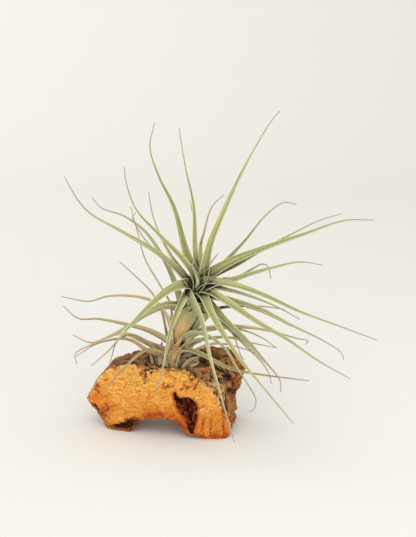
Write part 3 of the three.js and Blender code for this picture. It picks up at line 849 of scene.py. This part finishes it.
crownSkin = leafMaterial("silvery green leaf", {
    'Outer': tint(168, 169, 118),
    'Inner': tint(174, 173, 108),
    'Margin': tint(234, 232, 186),
    'Root': tint(176, 168, 120),
    'Deep': tint(58, 52, 26),
    'Dry': tint(206, 164, 104),
    'Tip': tint(168, 138, 114),
    'Silver': 0.12,
})
oldSkin = leafMaterial("aged grey leaf", {
    'Outer': tint(178, 166, 112),
    'Inner': tint(152, 143, 80),
    'Margin': tint(220, 208, 150),
    'Root': tint(146, 130, 98),
    'Deep': tint(58, 48, 38),
    'Dry': tint(174, 134, 102),
    'Tip': tint(166, 134, 110),
    'Silver': 0.1,
})
makeShoot(crown, "crownLeaves", crownSkin, "green_leaf", "crown_leaves")
makeShoot(leftShoot, "leftShootLeaves", oldSkin, "aged_leaf", "left_shoot_leaves")
makeShoot(rightShoot, "rightShootLeaves", oldSkin, "aged_leaf", "right_shoot_leaves")

# Main stem in its papery sheaths
mainStem = {
    "course": [
        (-29, 4, 37), (-29, 4, 44), (-29.5, 3, 57), (-27.5, -0.5, 69), (-23, -4.4, 78.4), (-22.2, -7, 82),
    ],
    "radii": (3.9, 3.9, 3.9, 4.2, 4.8, 5.6),
    "sheathCount": 20,
    "sheathStart": 0.16,
    "sheathSpread": 0.56,
    "sheathLength": (0.2, 0.3),
    "sheathLift": (0.6, 2.6),
    "sheathWidth": (6.5, 9),
    "sheathAge": (0.5, 1.0),
    "leaves": [
        (0.62, 6.4, (-9, -17, -23, -29, -34, -40, -45), 0.15, [
            (-25, 68), (-19, 72.5), (-9, 71), (3, 62.5), (11.5, 49),
            (20.5, 35.5), (25, 27), (24, 21), (20.5, 18),
        ]),
    ],
    "claspDown": 0.2,
    "paper": 0.45,
    "crumple": 0.8,
    "shadeReach": 8,
    "tuftCount": 12,
    "tuftStart": (0.3, 0.52),
    "tuftLength": (0.12, 0.24),
    "tuftTurn": (-2.6, -0.6),
    "tuftBulge": (5.5, 6.5),
    "tuftLift": (5.5, 9.5),
    "tuftWidth": (3.5, 6),
    "tuftAge": (0.8, 1.0),
    # Folds of paper seen from the front: width, depths, age, course from its foot
    "folds": [
        (6, (-10, -17), 0.9, [(-32, 48), (-32, 56), (-30, 64), (-26.5, 71)]),
        (4, (-12, -18), 0.7, [(-31, 50), (-30, 57), (-27.5, 62), (-25, 66)]),
        (5, (-9, -13), 0.4, [(-35.5, 48), (-35.5, 55), (-35, 62), (-33.5, 69)]),
        (3, (-14, -20), 1.3, [(-33, 54), (-31.5, 59), (-28.5, 62), (-26.5, 60.5)]),
        (2.6, (-12, -17), 1.3, [(-35, 52), (-35, 58), (-33, 62), (-31.5, 65.5)]),
        (2.4, (-14, -18), 1.0, [(-32, 50), (-33, 56), (-32, 61), (-30, 64)]),
        (2.6, (-13, -18), 0.5, [(-34.5, 46), (-34, 52), (-33, 58), (-31.5, 61)]),
    ],
}


def drawn(key):
    return chance.uniform(*mainStem[key])


def makeMainStem():
    course = [Vector(point) for point in mainStem["course"]]
    sheaths = []
    for index in range(mainStem["sheathCount"]):
        start = mainStem["sheathStart"] + mainStem["sheathSpread"] * index / (mainStem["sheathCount"] - 1)
        end = min(start + drawn("sheathLength"), 1)
        reach = (4.2, 5.0, 5.4 + drawn("sheathLift"))
        sheaths.append(claspAxis(
            course, start, end, index * goldenAngle, reach, drawn("sheathWidth"), drawn("sheathAge"),
        ))
    # A tuft of torn paper-thin sheaths on the front, above the cork
    for index in range(mainStem["tuftCount"]):
        start = drawn("tuftStart")
        end = start + drawn("tuftLength")
        turn = drawn("tuftTurn")
        reach = (4.4, drawn("tuftBulge"), drawn("tuftLift"))
        sheaths.append(claspAxis(
            course, start, end, turn, reach, drawn("tuftWidth"), drawn("tuftAge"), (1.2, 0.9, 2.0),
        ))
    for width, depths, age, points in mainStem["folds"]:
        points = courseInDepth(points, depths)
        sheaths.append(layBlade(points, width, (0.3, 1, -0.2), age, "sheath", (1.3, 1.1, 1.6)))
    leaves = thicken(sheaths, mainStem["paper"])
    places = readPlaces(leaves) / millimetre
    crumple = [noiseField(places, (2.2, 2.2, 4), seed, 2) for seed in (31, 32, 33)]
    writePlaces(leaves, (places + mainStem["crumple"] * np.stack(crumple, axis=1)) * millimetre)
    core = layCore(course, mainStem["radii"], 0.8, shade=-0.5, inside=0.0)
    stem = joinPieces([leaves, core])
    bpy.ops.object.shade_smooth_by_angle(angle=blade["smoothAngle"])
    markPaintedShade(stem, mainStem["shadeReach"])
    skin = leafMaterial("papery sheath", {
        'Outer': tint(180, 152, 98),
        'Inner': tint(150, 122, 84),
        'Margin': tint(220, 196, 158),
        'Root': tint(160, 118, 84),
        'Deep': tint(110, 74, 50),
        'Dry': tint(194, 152, 102),
        'Tip': tint(202, 166, 136),
        'Silver': 0.1,
    }, 0.8)
    finishPiece(stem, "mainStem", skin, "dry_sheath", "main_stem")
    blades = shootBlades(course, mainStem["radii"], mainStem["leaves"], mainStem["claspDown"])
    leaf = thicken(blades, blade["thickness"])
    bpy.ops.object.shade_smooth_by_angle(angle=blade["smoothAngle"])
    finishPiece(leaf, "stemLeaf", crownSkin, "green_leaf", "main_stem")


makeMainStem()
for template in (bladeTemplate, coreTemplate):
    bpy.data.objects.remove(template)

# Cork bark
cork = {
    "voxel": 0.62,
    "smoothPasses": 3,
    "wornPasses": 320,
    "faceLeft": -4,
    "faceRight": -27,
    "slant": (-95, -28),
    "socketCentre": (-27, -3, 53),
    "socketRadii": (25, 15, 9.5),
    "cleft": [
        (-33, 33), (-31.5, 35), (-27, 30.5), (-22, 30.5), (-17.5, 28), (-15.3, 23),
        (-16, 14), (-17.5, 8), (-19, 2), (-22.5, 6), (-24.5, 13), (-28.5, 20), (-31, 26),
    ],
    # Torn patches of the face: across, height, radius across, radius in height
    "scars": [
        (-38, 38, 5.5, 3), (-86, 31, 4, 4.5), (-20, 44, 4, 5),
        (-22, 38, 5, 2.5), (-80, 14, 4, 7), (-76, 47, 7, 2), (-33, 50, 5, 1.6),
    ],
    # Dark bark that reaches into the face, given in the same way
    "barkPatches": [(-53, 49, 6, 6), (-51, 43, 3, 4), (-90, 34, 2.5, 2.5), (-10, 46, 8, 6)],
    # Torn places in the lower edge of the face, and holes in them painted near black as shade: outlines
    # seen from the front
    "undercuts": [
        [(-77, 2.5), (-71, 5.5), (-66, 9.5), (-58.5, 12.5), (-57, 6), (-58, -3), (-76, -3)],
        [(-92, 18), (-87.5, 17.5), (-82.5, 10), (-84, 6), (-93, 9)],
    ],
    "holes": [
        [(-76, 2.6), (-68, 6), (-61, 9.5), (-57.5, 8), (-57, 3.8), (-61, 2.4), (-66, 3.2), (-72, 2)],
        [(-92, 17), (-88, 16.5), (-84, 11.5), (-86, 9), (-93, 10)],
    ],
    "leftReach": 2.4,
    "backLip": 0.2,
    "cracks": [
        ((-6.4, 18), (-6.8, 2)), ((-13, 45), (-18.5, 36.5)), ((1.5, 24), (3.0, 4)),
        ((-11.5, 14), (-12.5, 6)), ((-35, 46), (-31, 45)), ((-0.5, 34), (1.0, 27)),
    ],
    # Splinters in the cleft: place, size, lean
    "splinters": [
        ((-26.2, -16.5, 16), (2.6, 5, 11), 0.42), ((-17.2, -15, 14), (2.2, 6, 12), 0.0),
        ((-22, -8, 13), (5, 3, 14), 0.2), ((-22.6, -13, 7), (2.6, 4, 7.5), 0.3),
        ((-19.8, -17, 3), (1.8, 3.5, 3.6), 0.1),
    ],
    "tilt": 0.3,
    "grain": 0.36,
    "streak": 0.5,
    "rim": 1.5,
    "ridge": 1.2,
    "fissure": 2.0,
    "rustSpots": [
        (14, 0, 42, 11), (12, 22, 46, 10), (-62, 6, 56, 6), (4, -18, 12, 9),
        (-18.5, -25, 44, 4), (-57, -10, 55, 5),
    ],
}


def insideOutline(x, z, outline, fade):
    # A mask that is 1 inside a closed outline and fades out over the given width around it
    corners = np.array(outline)
    inside = np.zeros(len(x), bool)
    nearest = np.full(len(x), 1e9)
    for (ax, az), (bx, bz) in zip(corners, np.roll(corners, -1, axis=0)):
        crosses = ((az > z) != (bz > z)) & (x < (bx - ax) * (z - az) / (bz - az + 1e-9) + ax)
        inside ^= crosses
        length = (bx - ax)**2 + (bz - az)**2
        along = np.clip(((x - ax) * (bx - ax) + (z - az) * (bz - az)) / length, 0, 1)
        nearest = np.minimum(nearest, np.hypot(x - ax - along * (bx - ax), z - az - along * (bz - az)))
    return softStep(np.where(inside, nearest, -nearest), -fade, 0)


def insideAny(x, z, outlines, fade):
    return np.max([insideOutline(x, z, outline, fade) for outline in outlines], axis=0)


def ovalPatch(x, z, ragged, across, height, wide, tall):
    # An oval mask with a ragged edge
    inner = 1 - np.hypot((x - across) / wide, (z - height) / tall)
    return softStep(inner + 1.1 * ragged, 0.25, 0.6)


def reachFrom(places, chosen):
    # Distance from each place to the nearest of the chosen ones
    tree = kdtree.KDTree(len(chosen))
    for index, spot in enumerate(chosen):
        tree.insert(spot, index)
    tree.balance()
    return np.array([tree.find(spot)[2] for spot in places])


def wornScars(x, z, ragged):
    # Torn patches and upright cracks in the face, with ragged edges
    scar = np.zeros(len(x))
    for patch in cork["scars"]:
        scar = np.maximum(scar, ovalPatch(x, z, ragged, *patch))
    for (startX, startZ), (endX, endZ) in cork["cracks"]:
        run = np.clip((startZ - z) / (startZ - endZ), 0, 1)
        away = np.hypot(x - startX - run * (endX - startX), z - startZ + run * (startZ - endZ))
        scar = np.maximum(scar, softStep(-away - 1.2 * abs(ragged), -1.3, -0.4))
    return scar


def carveCork(piece):
    # Grain, pores and torn edges on the face, furrowed bark over the rest
    places = readPlaces(piece) / millimetre - np.array(standOffset)
    normals = np.empty(len(places) * 3)
    piece.data.vertices.foreach_get("normal", normals)
    normals = normals.reshape(-1, 3)
    x, y, z = places.T
    slant = softStep(x, *cork["slant"])
    behind = y - (cork["faceLeft"] + (cork["faceRight"] - cork["faceLeft"]) * slant)
    wander = noiseField(places, 5, 1, 3)
    ragged = noiseField(places, 2.6, 16, 3)

    # Which skin each place has: cut face, bark, cleft, socket, underside
    facing = softStep(-normals[:, 1], 0.15, 0.5)
    faceMask = facing * softStep(-behind + 1.6 * wander + 0.8 * ragged, -5.5, -3.5)
    # In front of the plant the face goes on over the narrow lip
    lip = softStep(x, -46, -40) * softStep(-x, 19, 23) * softStep(z, 38, 42)
    faceMask = np.maximum(faceMask, lip * softStep(-behind + 2 * ragged, -9, -7))
    browFrom = (faceMask < 0.2) & (z > 20) & (behind > 0)
    for patch in cork["barkPatches"]:
        faceMask *= 1 - ovalPatch(x, z, ragged, *patch)
    inFront = (behind < 8) * facing
    undercut = insideAny(x + 1.5 * ragged, z + 1.5 * wander, cork["undercuts"], 1.2) * inFront
    # The holes are sunk in and painted near black: painted shade in the recesses
    hole = insideAny(x + 2 * ragged, z + 1.5 * wander, cork["holes"], 1.5)
    hole = softStep(hole, 0.35, 0.8) * inFront
    cleftMask = insideOutline(x, z, cork["cleft"], 1.4) * softStep(behind, 0.8, 2.2) * (behind < 25)
    inCleft = cleftMask
    cleftMask = np.maximum(cleftMask, undercut)
    fromSocket = (places - np.array(cork["socketCentre"])) / np.array(cork["socketRadii"])
    socketMask = softStep(-abs(np.linalg.norm(fromSocket, axis=1) - 1), -0.12, -0.05)
    socketMask *= softStep(-behind, -60, -2)
    lowMask = softStep(-normals[:, 2], 0.25, 0.65)
    besideCleft = insideOutline(x, z, cork["cleft"], 3.5)
    cleftLip = softStep(besideCleft, 0.5, 0.9) * softStep(-behind, -6, -4) * (1 - cleftMask)
    faceMask = np.maximum(faceMask, cleftLip) * (1 - cleftMask) * (1 - socketMask)
    barkMask = (1 - faceMask) * (1 - cleftMask) * (1 - 0.6 * lowMask)
    # The lower rim of the face is painted darker red: partly its own colour, partly painted shade
    under = (normals[:, 2] < -0.5) & (behind < 14) & (besideCleft < 0.05)
    toRim = reachFrom(places, places[under])
    rim = softStep(-toRim + 2.0 * wander, -5.5, -1)
    rim = np.maximum(rim, 0.7 * softStep(-z + 2.5 * wander, -6.5, -1.5))
    rim = np.maximum(rim, 0.8 * cleftLip)
    lowFace = softStep(-toRim + 5 * wander, -21, -3)
    lowFace = np.maximum(lowFace, 0.8 * softStep(-z + 6 * wander, -30, -12))
    # Pale crumbs along the top edge of the face, made paler still as a painted highlight
    brow = softStep(-reachFrom(places, places[browFrom & (besideCleft < 0.05)]), -4.5, -0.5)
    straw = barkMask * softStep(-behind + 3 * wander, -13, -5) * softStep(x + 2 * ragged, -17, -12)
    straw *= softStep(-z + 3 * ragged, -46, -40) * (1 - socketMask)

    # The cut face: grains, streaks along the growth lines, short dark pores
    streakPlaces = np.stack([x, y, z - cork["tilt"] * x], axis=1)
    grain = noiseField(places, 1.5, 2, 2)
    streak = noiseField(streakPlaces, (10, 10, 1.4), 3, 3)
    pores = noiseField(streakPlaces, (4.2, 4.2, 0.9), 4, 2)
    pore = softStep(pores + 0.15 * wander, 0.4, 0.7)
    lumps = noiseField(places, 8, 5, 2)
    edgeLumps = noiseField(places, 3.4, 6, 3)
    scar = wornScars(x, z, ragged) * softStep(-rim, -1.2, -0.4)
    faceLift = cork["grain"] * grain + cork["streak"] * streak - 0.5 * pore + 0.7 * lumps
    faceLift += cork["rim"] * rim * edgeLumps + 0.9 * brow * ragged + scar * (1.4 * ragged - 1.0)

    # The bark: furrows that follow the edge of the face, broken by cross cracks
    warp = np.stack([noiseField(places, 11, seed) for seed in (7, 8, 9)], axis=1)
    bent = np.stack([x, behind, z], axis=1) + 3.2 * warp
    longLines = np.abs(noiseField(bent, (24, 3.9, 24), 10, 3))
    crossLines = np.abs(noiseField(bent, (6, 12, 6), 14, 2))
    crack = np.maximum(softStep(-longLines, -0.17, -0.01), 0.75 * softStep(-crossLines, -0.08, 0.0))
    blocks = noiseField(bent, (7, 2.8, 7), 11, 3)
    barkGrain = noiseField(bent, (2.8, 0.9, 2.8), 12, 3)
    flake = softStep(noiseField(bent, (8, 4.5, 8), 15, 2), 0.0, 0.1)
    barkLift = cork["ridge"] * blocks - cork["fissure"] * crack + 0.6 * barkGrain + 0.7 * flake + 0.2
    large = noiseField(places, 15, 21, 2) * softStep(behind, 6, 14)
    barkLift += (2.4 - 1.9 * softStep(x, -4, 6) * softStep(-z, -34, -26)) * large
    barkLift = barkLift * (1 - socketMask) + socketMask * (1.8 * edgeLumps + 0.5 * ragged)
    rust = softStep(noiseField(bent, (16, 3.4, 16), 17, 3), 0.2, 0.36) * 0.75 * (1 - straw)
    rust *= 1 - 0.65 * softStep(-x, 48, 60)
    for across, depth, height, radius in cork["rustSpots"]:
        inner = 1 - np.linalg.norm(places - np.array((across, depth, height)), axis=1) / radius
        rust = np.maximum(rust, softStep(inner + 0.5 * wander, 0.15, 0.5))
    rust *= 1 - 0.8 * socketMask
    cleftLift = 1.0 * noiseField(places, (2.4, 2.4, 7), 13, 3) * softStep(z, 4, 10) + 0.3 * grain
    cleftLift += undercut * (1.8 * edgeLumps - 1.0) - 2.8 * hole

    lift = faceMask * faceLift + barkMask * barkLift + cleftMask * cleftLift
    lift += lowMask * (1 - faceMask) * (1 - cleftMask) * (1.0 * edgeLumps + 0.3 * grain)
    # The feet stay flat
    moved = places + normals * (lift * softStep(z, 0.2, 2.0))[:, None]
    moved[:, 0] -= cork["leftReach"] * softStep(-x, 62, 86)
    moved[:, 2] = np.maximum(moved[:, 2], 0)
    settle(piece, moved)
    # In the torn places of the lower edge the fibre value is lowered, so their red brown goes darker:
    # painted shade
    masks = {
        "bark": barkMask, "cleft": inCleft, "rim": rim * faceMask, "brow": brow * faceMask,
        "lowFace": lowFace * faceMask, "straw": straw, "socket": socketMask, "hole": hole,
        "pore": np.maximum(pore * faceMask, crack * barkMask * (1 - socketMask)), "scar": scar * faceMask,
        "rust": rust, "lift": 0.5 + 0.22 * lift, "low": np.maximum(lowMask * (1 - faceMask), undercut),
        "fibre": 0.5 + 0.5 * noiseField(places, (1.6, 1.6, 8), 18, 3) - 0.22 * undercut,
    }
    for name, values in masks.items():
        setValues(piece, name, values)


def makeCork():
    piece = copyPiece(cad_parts["cork_bark"])
    for key in list(piece.keys()):
        del piece[key]
    piece.parent = None
    focus(piece)
    bpy.ops.object.mode_set(mode='EDIT')
    bpy.ops.mesh.select_all(action='SELECT')
    bpy.ops.mesh.remove_doubles(threshold=0.00002)
    bpy.ops.object.mode_set(mode='OBJECT')
    applyModifier(piece, 'REMESH', mode='VOXEL', voxel_size=cork["voxel"] * millimetre)
    applyModifier(piece, 'SMOOTH', factor=0.5, iterations=cork["smoothPasses"])
    # The corners at the back are well worn
    places = readPlaces(piece) / millimetre
    behind = places[:, 1] - standOffset[1]
    worn = softStep(behind, 2, 12) * softStep(places[:, 2], 1, 8)
    # Behind the arch the bark hangs a little lower
    hanging = softStep(behind, 4, 16) * softStep(-places[:, 2], -24, -12)
    places[:, 2] *= 1 - cork["backLip"] * hanging
    writePlaces(piece, places * millimetre)
    group = piece.vertex_groups.new(name="worn")
    for index in np.flatnonzero(worn):
        group.add([int(index)], worn[index], 'REPLACE')
    applyModifier(piece, 'SMOOTH', factor=0.9, iterations=cork["wornPasses"], vertex_group="worn")
    carveCork(piece)
    joinPieces([piece] + makeSplinters())
    bpy.ops.object.shade_smooth()
    finishPiece(piece, "corkChunk", corkMaterial(), "cork", "cork_bark")


# Tones of the cork; where there are two, they mix from the darker to the lighter
corkTones = {
    "face": (tint(212, 138, 46), tint(248, 200, 106)),
    "band": tint(212, 134, 48),
    "line": tint(202, 116, 36),
    "crumb": tint(196, 112, 36),
    "cloud": tint(232, 146, 52),
    "lowFace": tint(204, 108, 32),
    "rim": tint(166, 66, 20),
    "brow": tint(246, 206, 140),
    "pore": tint(150, 78, 24),
    "scar": (tint(88, 44, 24), tint(204, 112, 52)),
    "bark": (tint(88, 52, 34), tint(172, 130, 86)),
    "barkCrumb": tint(124, 86, 58),
    "barkFleck": tint(188, 162, 130),
    "straw": (tint(146, 98, 54), tint(224, 178, 112)),
    "rust": (tint(170, 80, 32), tint(232, 146, 68)),
    "socket": tint(50, 36, 26),
    "crack": tint(48, 26, 18),
    "low": (tint(112, 44, 20), tint(206, 110, 56)),
    "cleft": (tint(88, 28, 18), tint(200, 100, 56)),
    "hole": tint(46, 15, 9),
}


def corkMaterial():
    material, tree, shader = newMaterial("cork bark", {'Roughness': 0.9, 'Specular IOR Level': 0.15})
    place = objectPlace(tree)

    def drawnOut(scale, detail, roughness):
        # Noise stretched along the growth lines
        turned = addNode(tree, 'ShaderNodeMapping', {
            'Vector': place, 'Rotation': (0.0, cork["tilt"], 0.0), 'Scale': scale,
        })
        return noiseAt(tree, turned.outputs[0], 1.0, detail, roughness)

    def pair(name, share):
        return mixColours(tree, share, *corkTones[name])

    def over(below, name, share):
        return mixColours(tree, share, below, corkTones[name])

    cloud = noiseAt(tree, place, 70.0, 4.0, 0.6)
    crumbs = noiseAt(tree, place, 330.0, 3.0, 0.6)
    fine = noiseAt(tree, place, 700.0, 4.0, 0.7)
    lines = drawnOut((110.0, 110.0, 720.0), 4.0, 0.65)
    bands = drawnOut((24.0, 24.0, 170.0), 3.0, 0.6)
    lift = attribute(tree, "lift")
    pore = attribute(tree, "pore")
    # Cut face: yellow orange with light grains and brown streaks, deeper towards its lower rim, whose
    # darker red is partly its own colour and partly painted shade
    face = pair("face", remap(tree, fine, 0.35, 0.65))
    face = over(face, "band", remap(tree, bands, 0.48, 0.64, 0.0, 0.5))
    face = over(face, "line", remap(tree, lines, 0.48, 0.68, 0.0, 0.7))
    face = over(face, "crumb", remap(tree, crumbs, 0.56, 0.7, 0.0, 0.55))
    face = over(face, "cloud", remap(tree, cloud, 0.45, 0.7, 0.0, 0.45))
    face = over(face, "lowFace", masked(tree, "lowFace", remap(tree, cloud, 0.3, 0.6, 0.3, 0.9)))
    face = over(face, "rim", masked(tree, "rim", remap(tree, crumbs, 0.35, 0.6, 0.35, 1.0)))
    # Pale crumbs on the top edge of the face, partly painted highlight
    face = over(face, "brow", masked(tree, "brow", remap(tree, crumbs, 0.43, 0.6, 0.0, 0.9)))
    face = over(face, "pore", multiply(tree, pore, 0.75))
    torn = pair("scar", remap(tree, crumbs, 0.4, 0.62))
    face = mixColours(tree, masked(tree, "scar", 0.9), face, torn)
    # Bark: dark brown furrows, grey ridges with pale flecks, orange where it is rubbed
    bark = pair("bark", remap(tree, lift, 0.3, 0.7))
    bark = over(bark, "barkCrumb", remap(tree, crumbs, 0.42, 0.62, 0.0, 0.55))
    bark = over(bark, "barkFleck", remap(tree, fine, 0.56, 0.68, 0.0, 0.55))
    pale = pair("straw", remap(tree, lift, 0.35, 0.6))
    bark = mixColours(tree, masked(tree, "straw", 0.75), bark, pale)
    rubbed = pair("rust", remap(tree, fine, 0.4, 0.62))
    bark = mixColours(tree, attribute(tree, "rust"), bark, rubbed)
    # Round the socket where the plant's foot stands the bark goes near black: painted shade
    bark = over(bark, "socket", masked(tree, "socket", 0.65))
    bark = over(bark, "crack", multiply(tree, pore, 0.9))
    colour = mixColours(tree, remap(tree, attribute(tree, "bark"), 0.35, 0.65), face, bark)
    # Underside and cleft: red brown, with lighter fibres
    fibre = remap(tree, attribute(tree, "fibre"), 0.45, 0.75)
    colour = mixColours(tree, masked(tree, "low", 0.8), colour, pair("low", fibre))
    colour = mixColours(tree, attribute(tree, "cleft"), colour, pair("cleft", fibre))
    # Painted shade: the holes in the torn lower edge go near black
    colour = over(colour, "hole", masked(tree, "hole", 0.9))
    feed(tree, shader.inputs['Base Color'], colour)
    height = calculate(tree, 'ADD', fine, multiply(tree, lines, 0.7))
    bumpInto(tree, shader, height, 0.8 * millimetre, 0.7)
    return material


def makeSplinters():
    # Rough fibres left standing in the cleft; they also fill its foot, put there to stand for the shade in
    # it
    made = []
    for place, size, lean in cork["splinters"]:
        bpy.ops.mesh.primitive_ico_sphere_add(subdivisions=5, radius=1, location=(0, 0, 0))
        piece = bpy.context.object
        bpy.ops.object.mode_set(mode='EDIT')
        bpy.ops.transform.resize(value=size)
        bpy.ops.transform.rotate(value=lean, orient_axis='Y', center_override=(0, 0, 0))
        bpy.ops.object.mode_set(mode='OBJECT')
        places = readPlaces(piece) + np.array(place)
        outward = readPlaces(piece) / np.array(size)
        rough = noiseField(places, (1.6, 1.6, 6), 19, 3)
        fibre = noiseField(places, (0.9, 0.9, 5), 20, 2)
        places += outward * (1.1 * rough + 0.3 * fibre)[:, None]
        places[:, 2] = np.maximum(places[:, 2], 0.2)
        settle(piece, places)
        setValues(piece, "cleft", 1)
        setValues(piece, "fibre", 0.5 + 0.5 * fibre)
        setValues(piece, "lift", 0.5 + 0.2 * rough)
        made.append(piece)
    return made


makeCork()

# Floor, backdrop, light and camera
studio = {
    "reach": 2.2,
    "wallHeight": 1.6,
    "sweep": 0.9,
    "paper": tint(238, 236, 230),
    "keyPlace": (0.0, -1.2, 0.85),
    "keySize": 1.5,
    "keyPower": 12.5,
    "wallLightPlace": (-1.0, 1.0, 1.4),
    "wallLightSize": 1.6,
    "wallLightPower": 6,
    "skyColour": (1.0, 0.998, 0.985, 1.0),
    "skyStrength": 0.8,
}


def makeBackdrop():
    reach = studio["reach"]
    bpy.ops.mesh.primitive_plane_add(size=2 * reach, location=(0, 0, 0))
    paper = bpy.context.object
    bpy.ops.object.mode_set(mode='EDIT')
    bpy.ops.mesh.select_mode(type='EDGE')
    pickEdges(paper, lambda a, b: min(a.y, b.y) > 0.9 * reach)
    bpy.ops.mesh.extrude_region_move(TRANSFORM_OT_translate={"value": (0, 0, studio["wallHeight"])})
    pickEdges(paper, lambda a, b: min(a.y, b.y) > 0.9 * reach and max(a.z, b.z) < 1e-4)
    bpy.ops.mesh.bevel(offset=studio["sweep"], segments=16, affect='EDGES')
    bpy.ops.object.mode_set(mode='OBJECT')
    bpy.ops.object.shade_smooth()
    paper.name = "paperBackdrop"
    material, tree, shader = newMaterial("studio paper", {'Roughness': 0.95, 'Specular IOR Level': 0.1})
    shader.inputs['Base Color'].default_value = studio["paper"]
    paper.data.materials.append(material)


def addSoftLight(name, place, size, power, target=(0, 0, 0.1)):
    bpy.ops.object.light_add(type='AREA', location=place)
    light = bpy.context.object
    light.name = name
    light.data.size = size
    light.data.energy = power
    light.rotation_euler = (Vector(target) - Vector(place)).to_track_quat('-Z', 'Y').to_euler()


def makeStudio():
    makeBackdrop()
    addSoftLight("keyLight", studio["keyPlace"], studio["keySize"], studio["keyPower"])
    addSoftLight(
        "wallLight", studio["wallLightPlace"], studio["wallLightSize"], studio["wallLightPower"],
        (0, studio["reach"], 0.6),
    )
    sky = bpy.data.worlds.new("studioSky")
    sky.use_nodes = True
    background = sky.node_tree.nodes['Background']
    background.inputs['Color'].default_value = studio["skyColour"]
    background.inputs['Strength'].default_value = studio["skyStrength"]
    bpy.context.scene.world = sky
    bpy.context.scene.view_settings.view_transform = 'Standard'
    print("studio lit")


def makeCamera():
    back = Vector((0, -math.cos(sight["elevation"]), math.sin(sight["elevation"])))
    aim = (sight["aim"] + standOffset) * millimetre
    bpy.ops.object.camera_add(location=aim + back * sight["distance"] * millimetre)
    camera = bpy.context.object
    camera.rotation_euler = (-back).to_track_quat('-Z', 'Y').to_euler()
    camera.data.sensor_fit = 'HORIZONTAL'
    camera.data.sensor_width = sight["sensorWidth"]
    camera.data.lens = sight["sensorWidth"] * sight["distance"] / sight["widthSeen"]
    bpy.context.scene.camera = camera


makeStudio()
makeCamera()
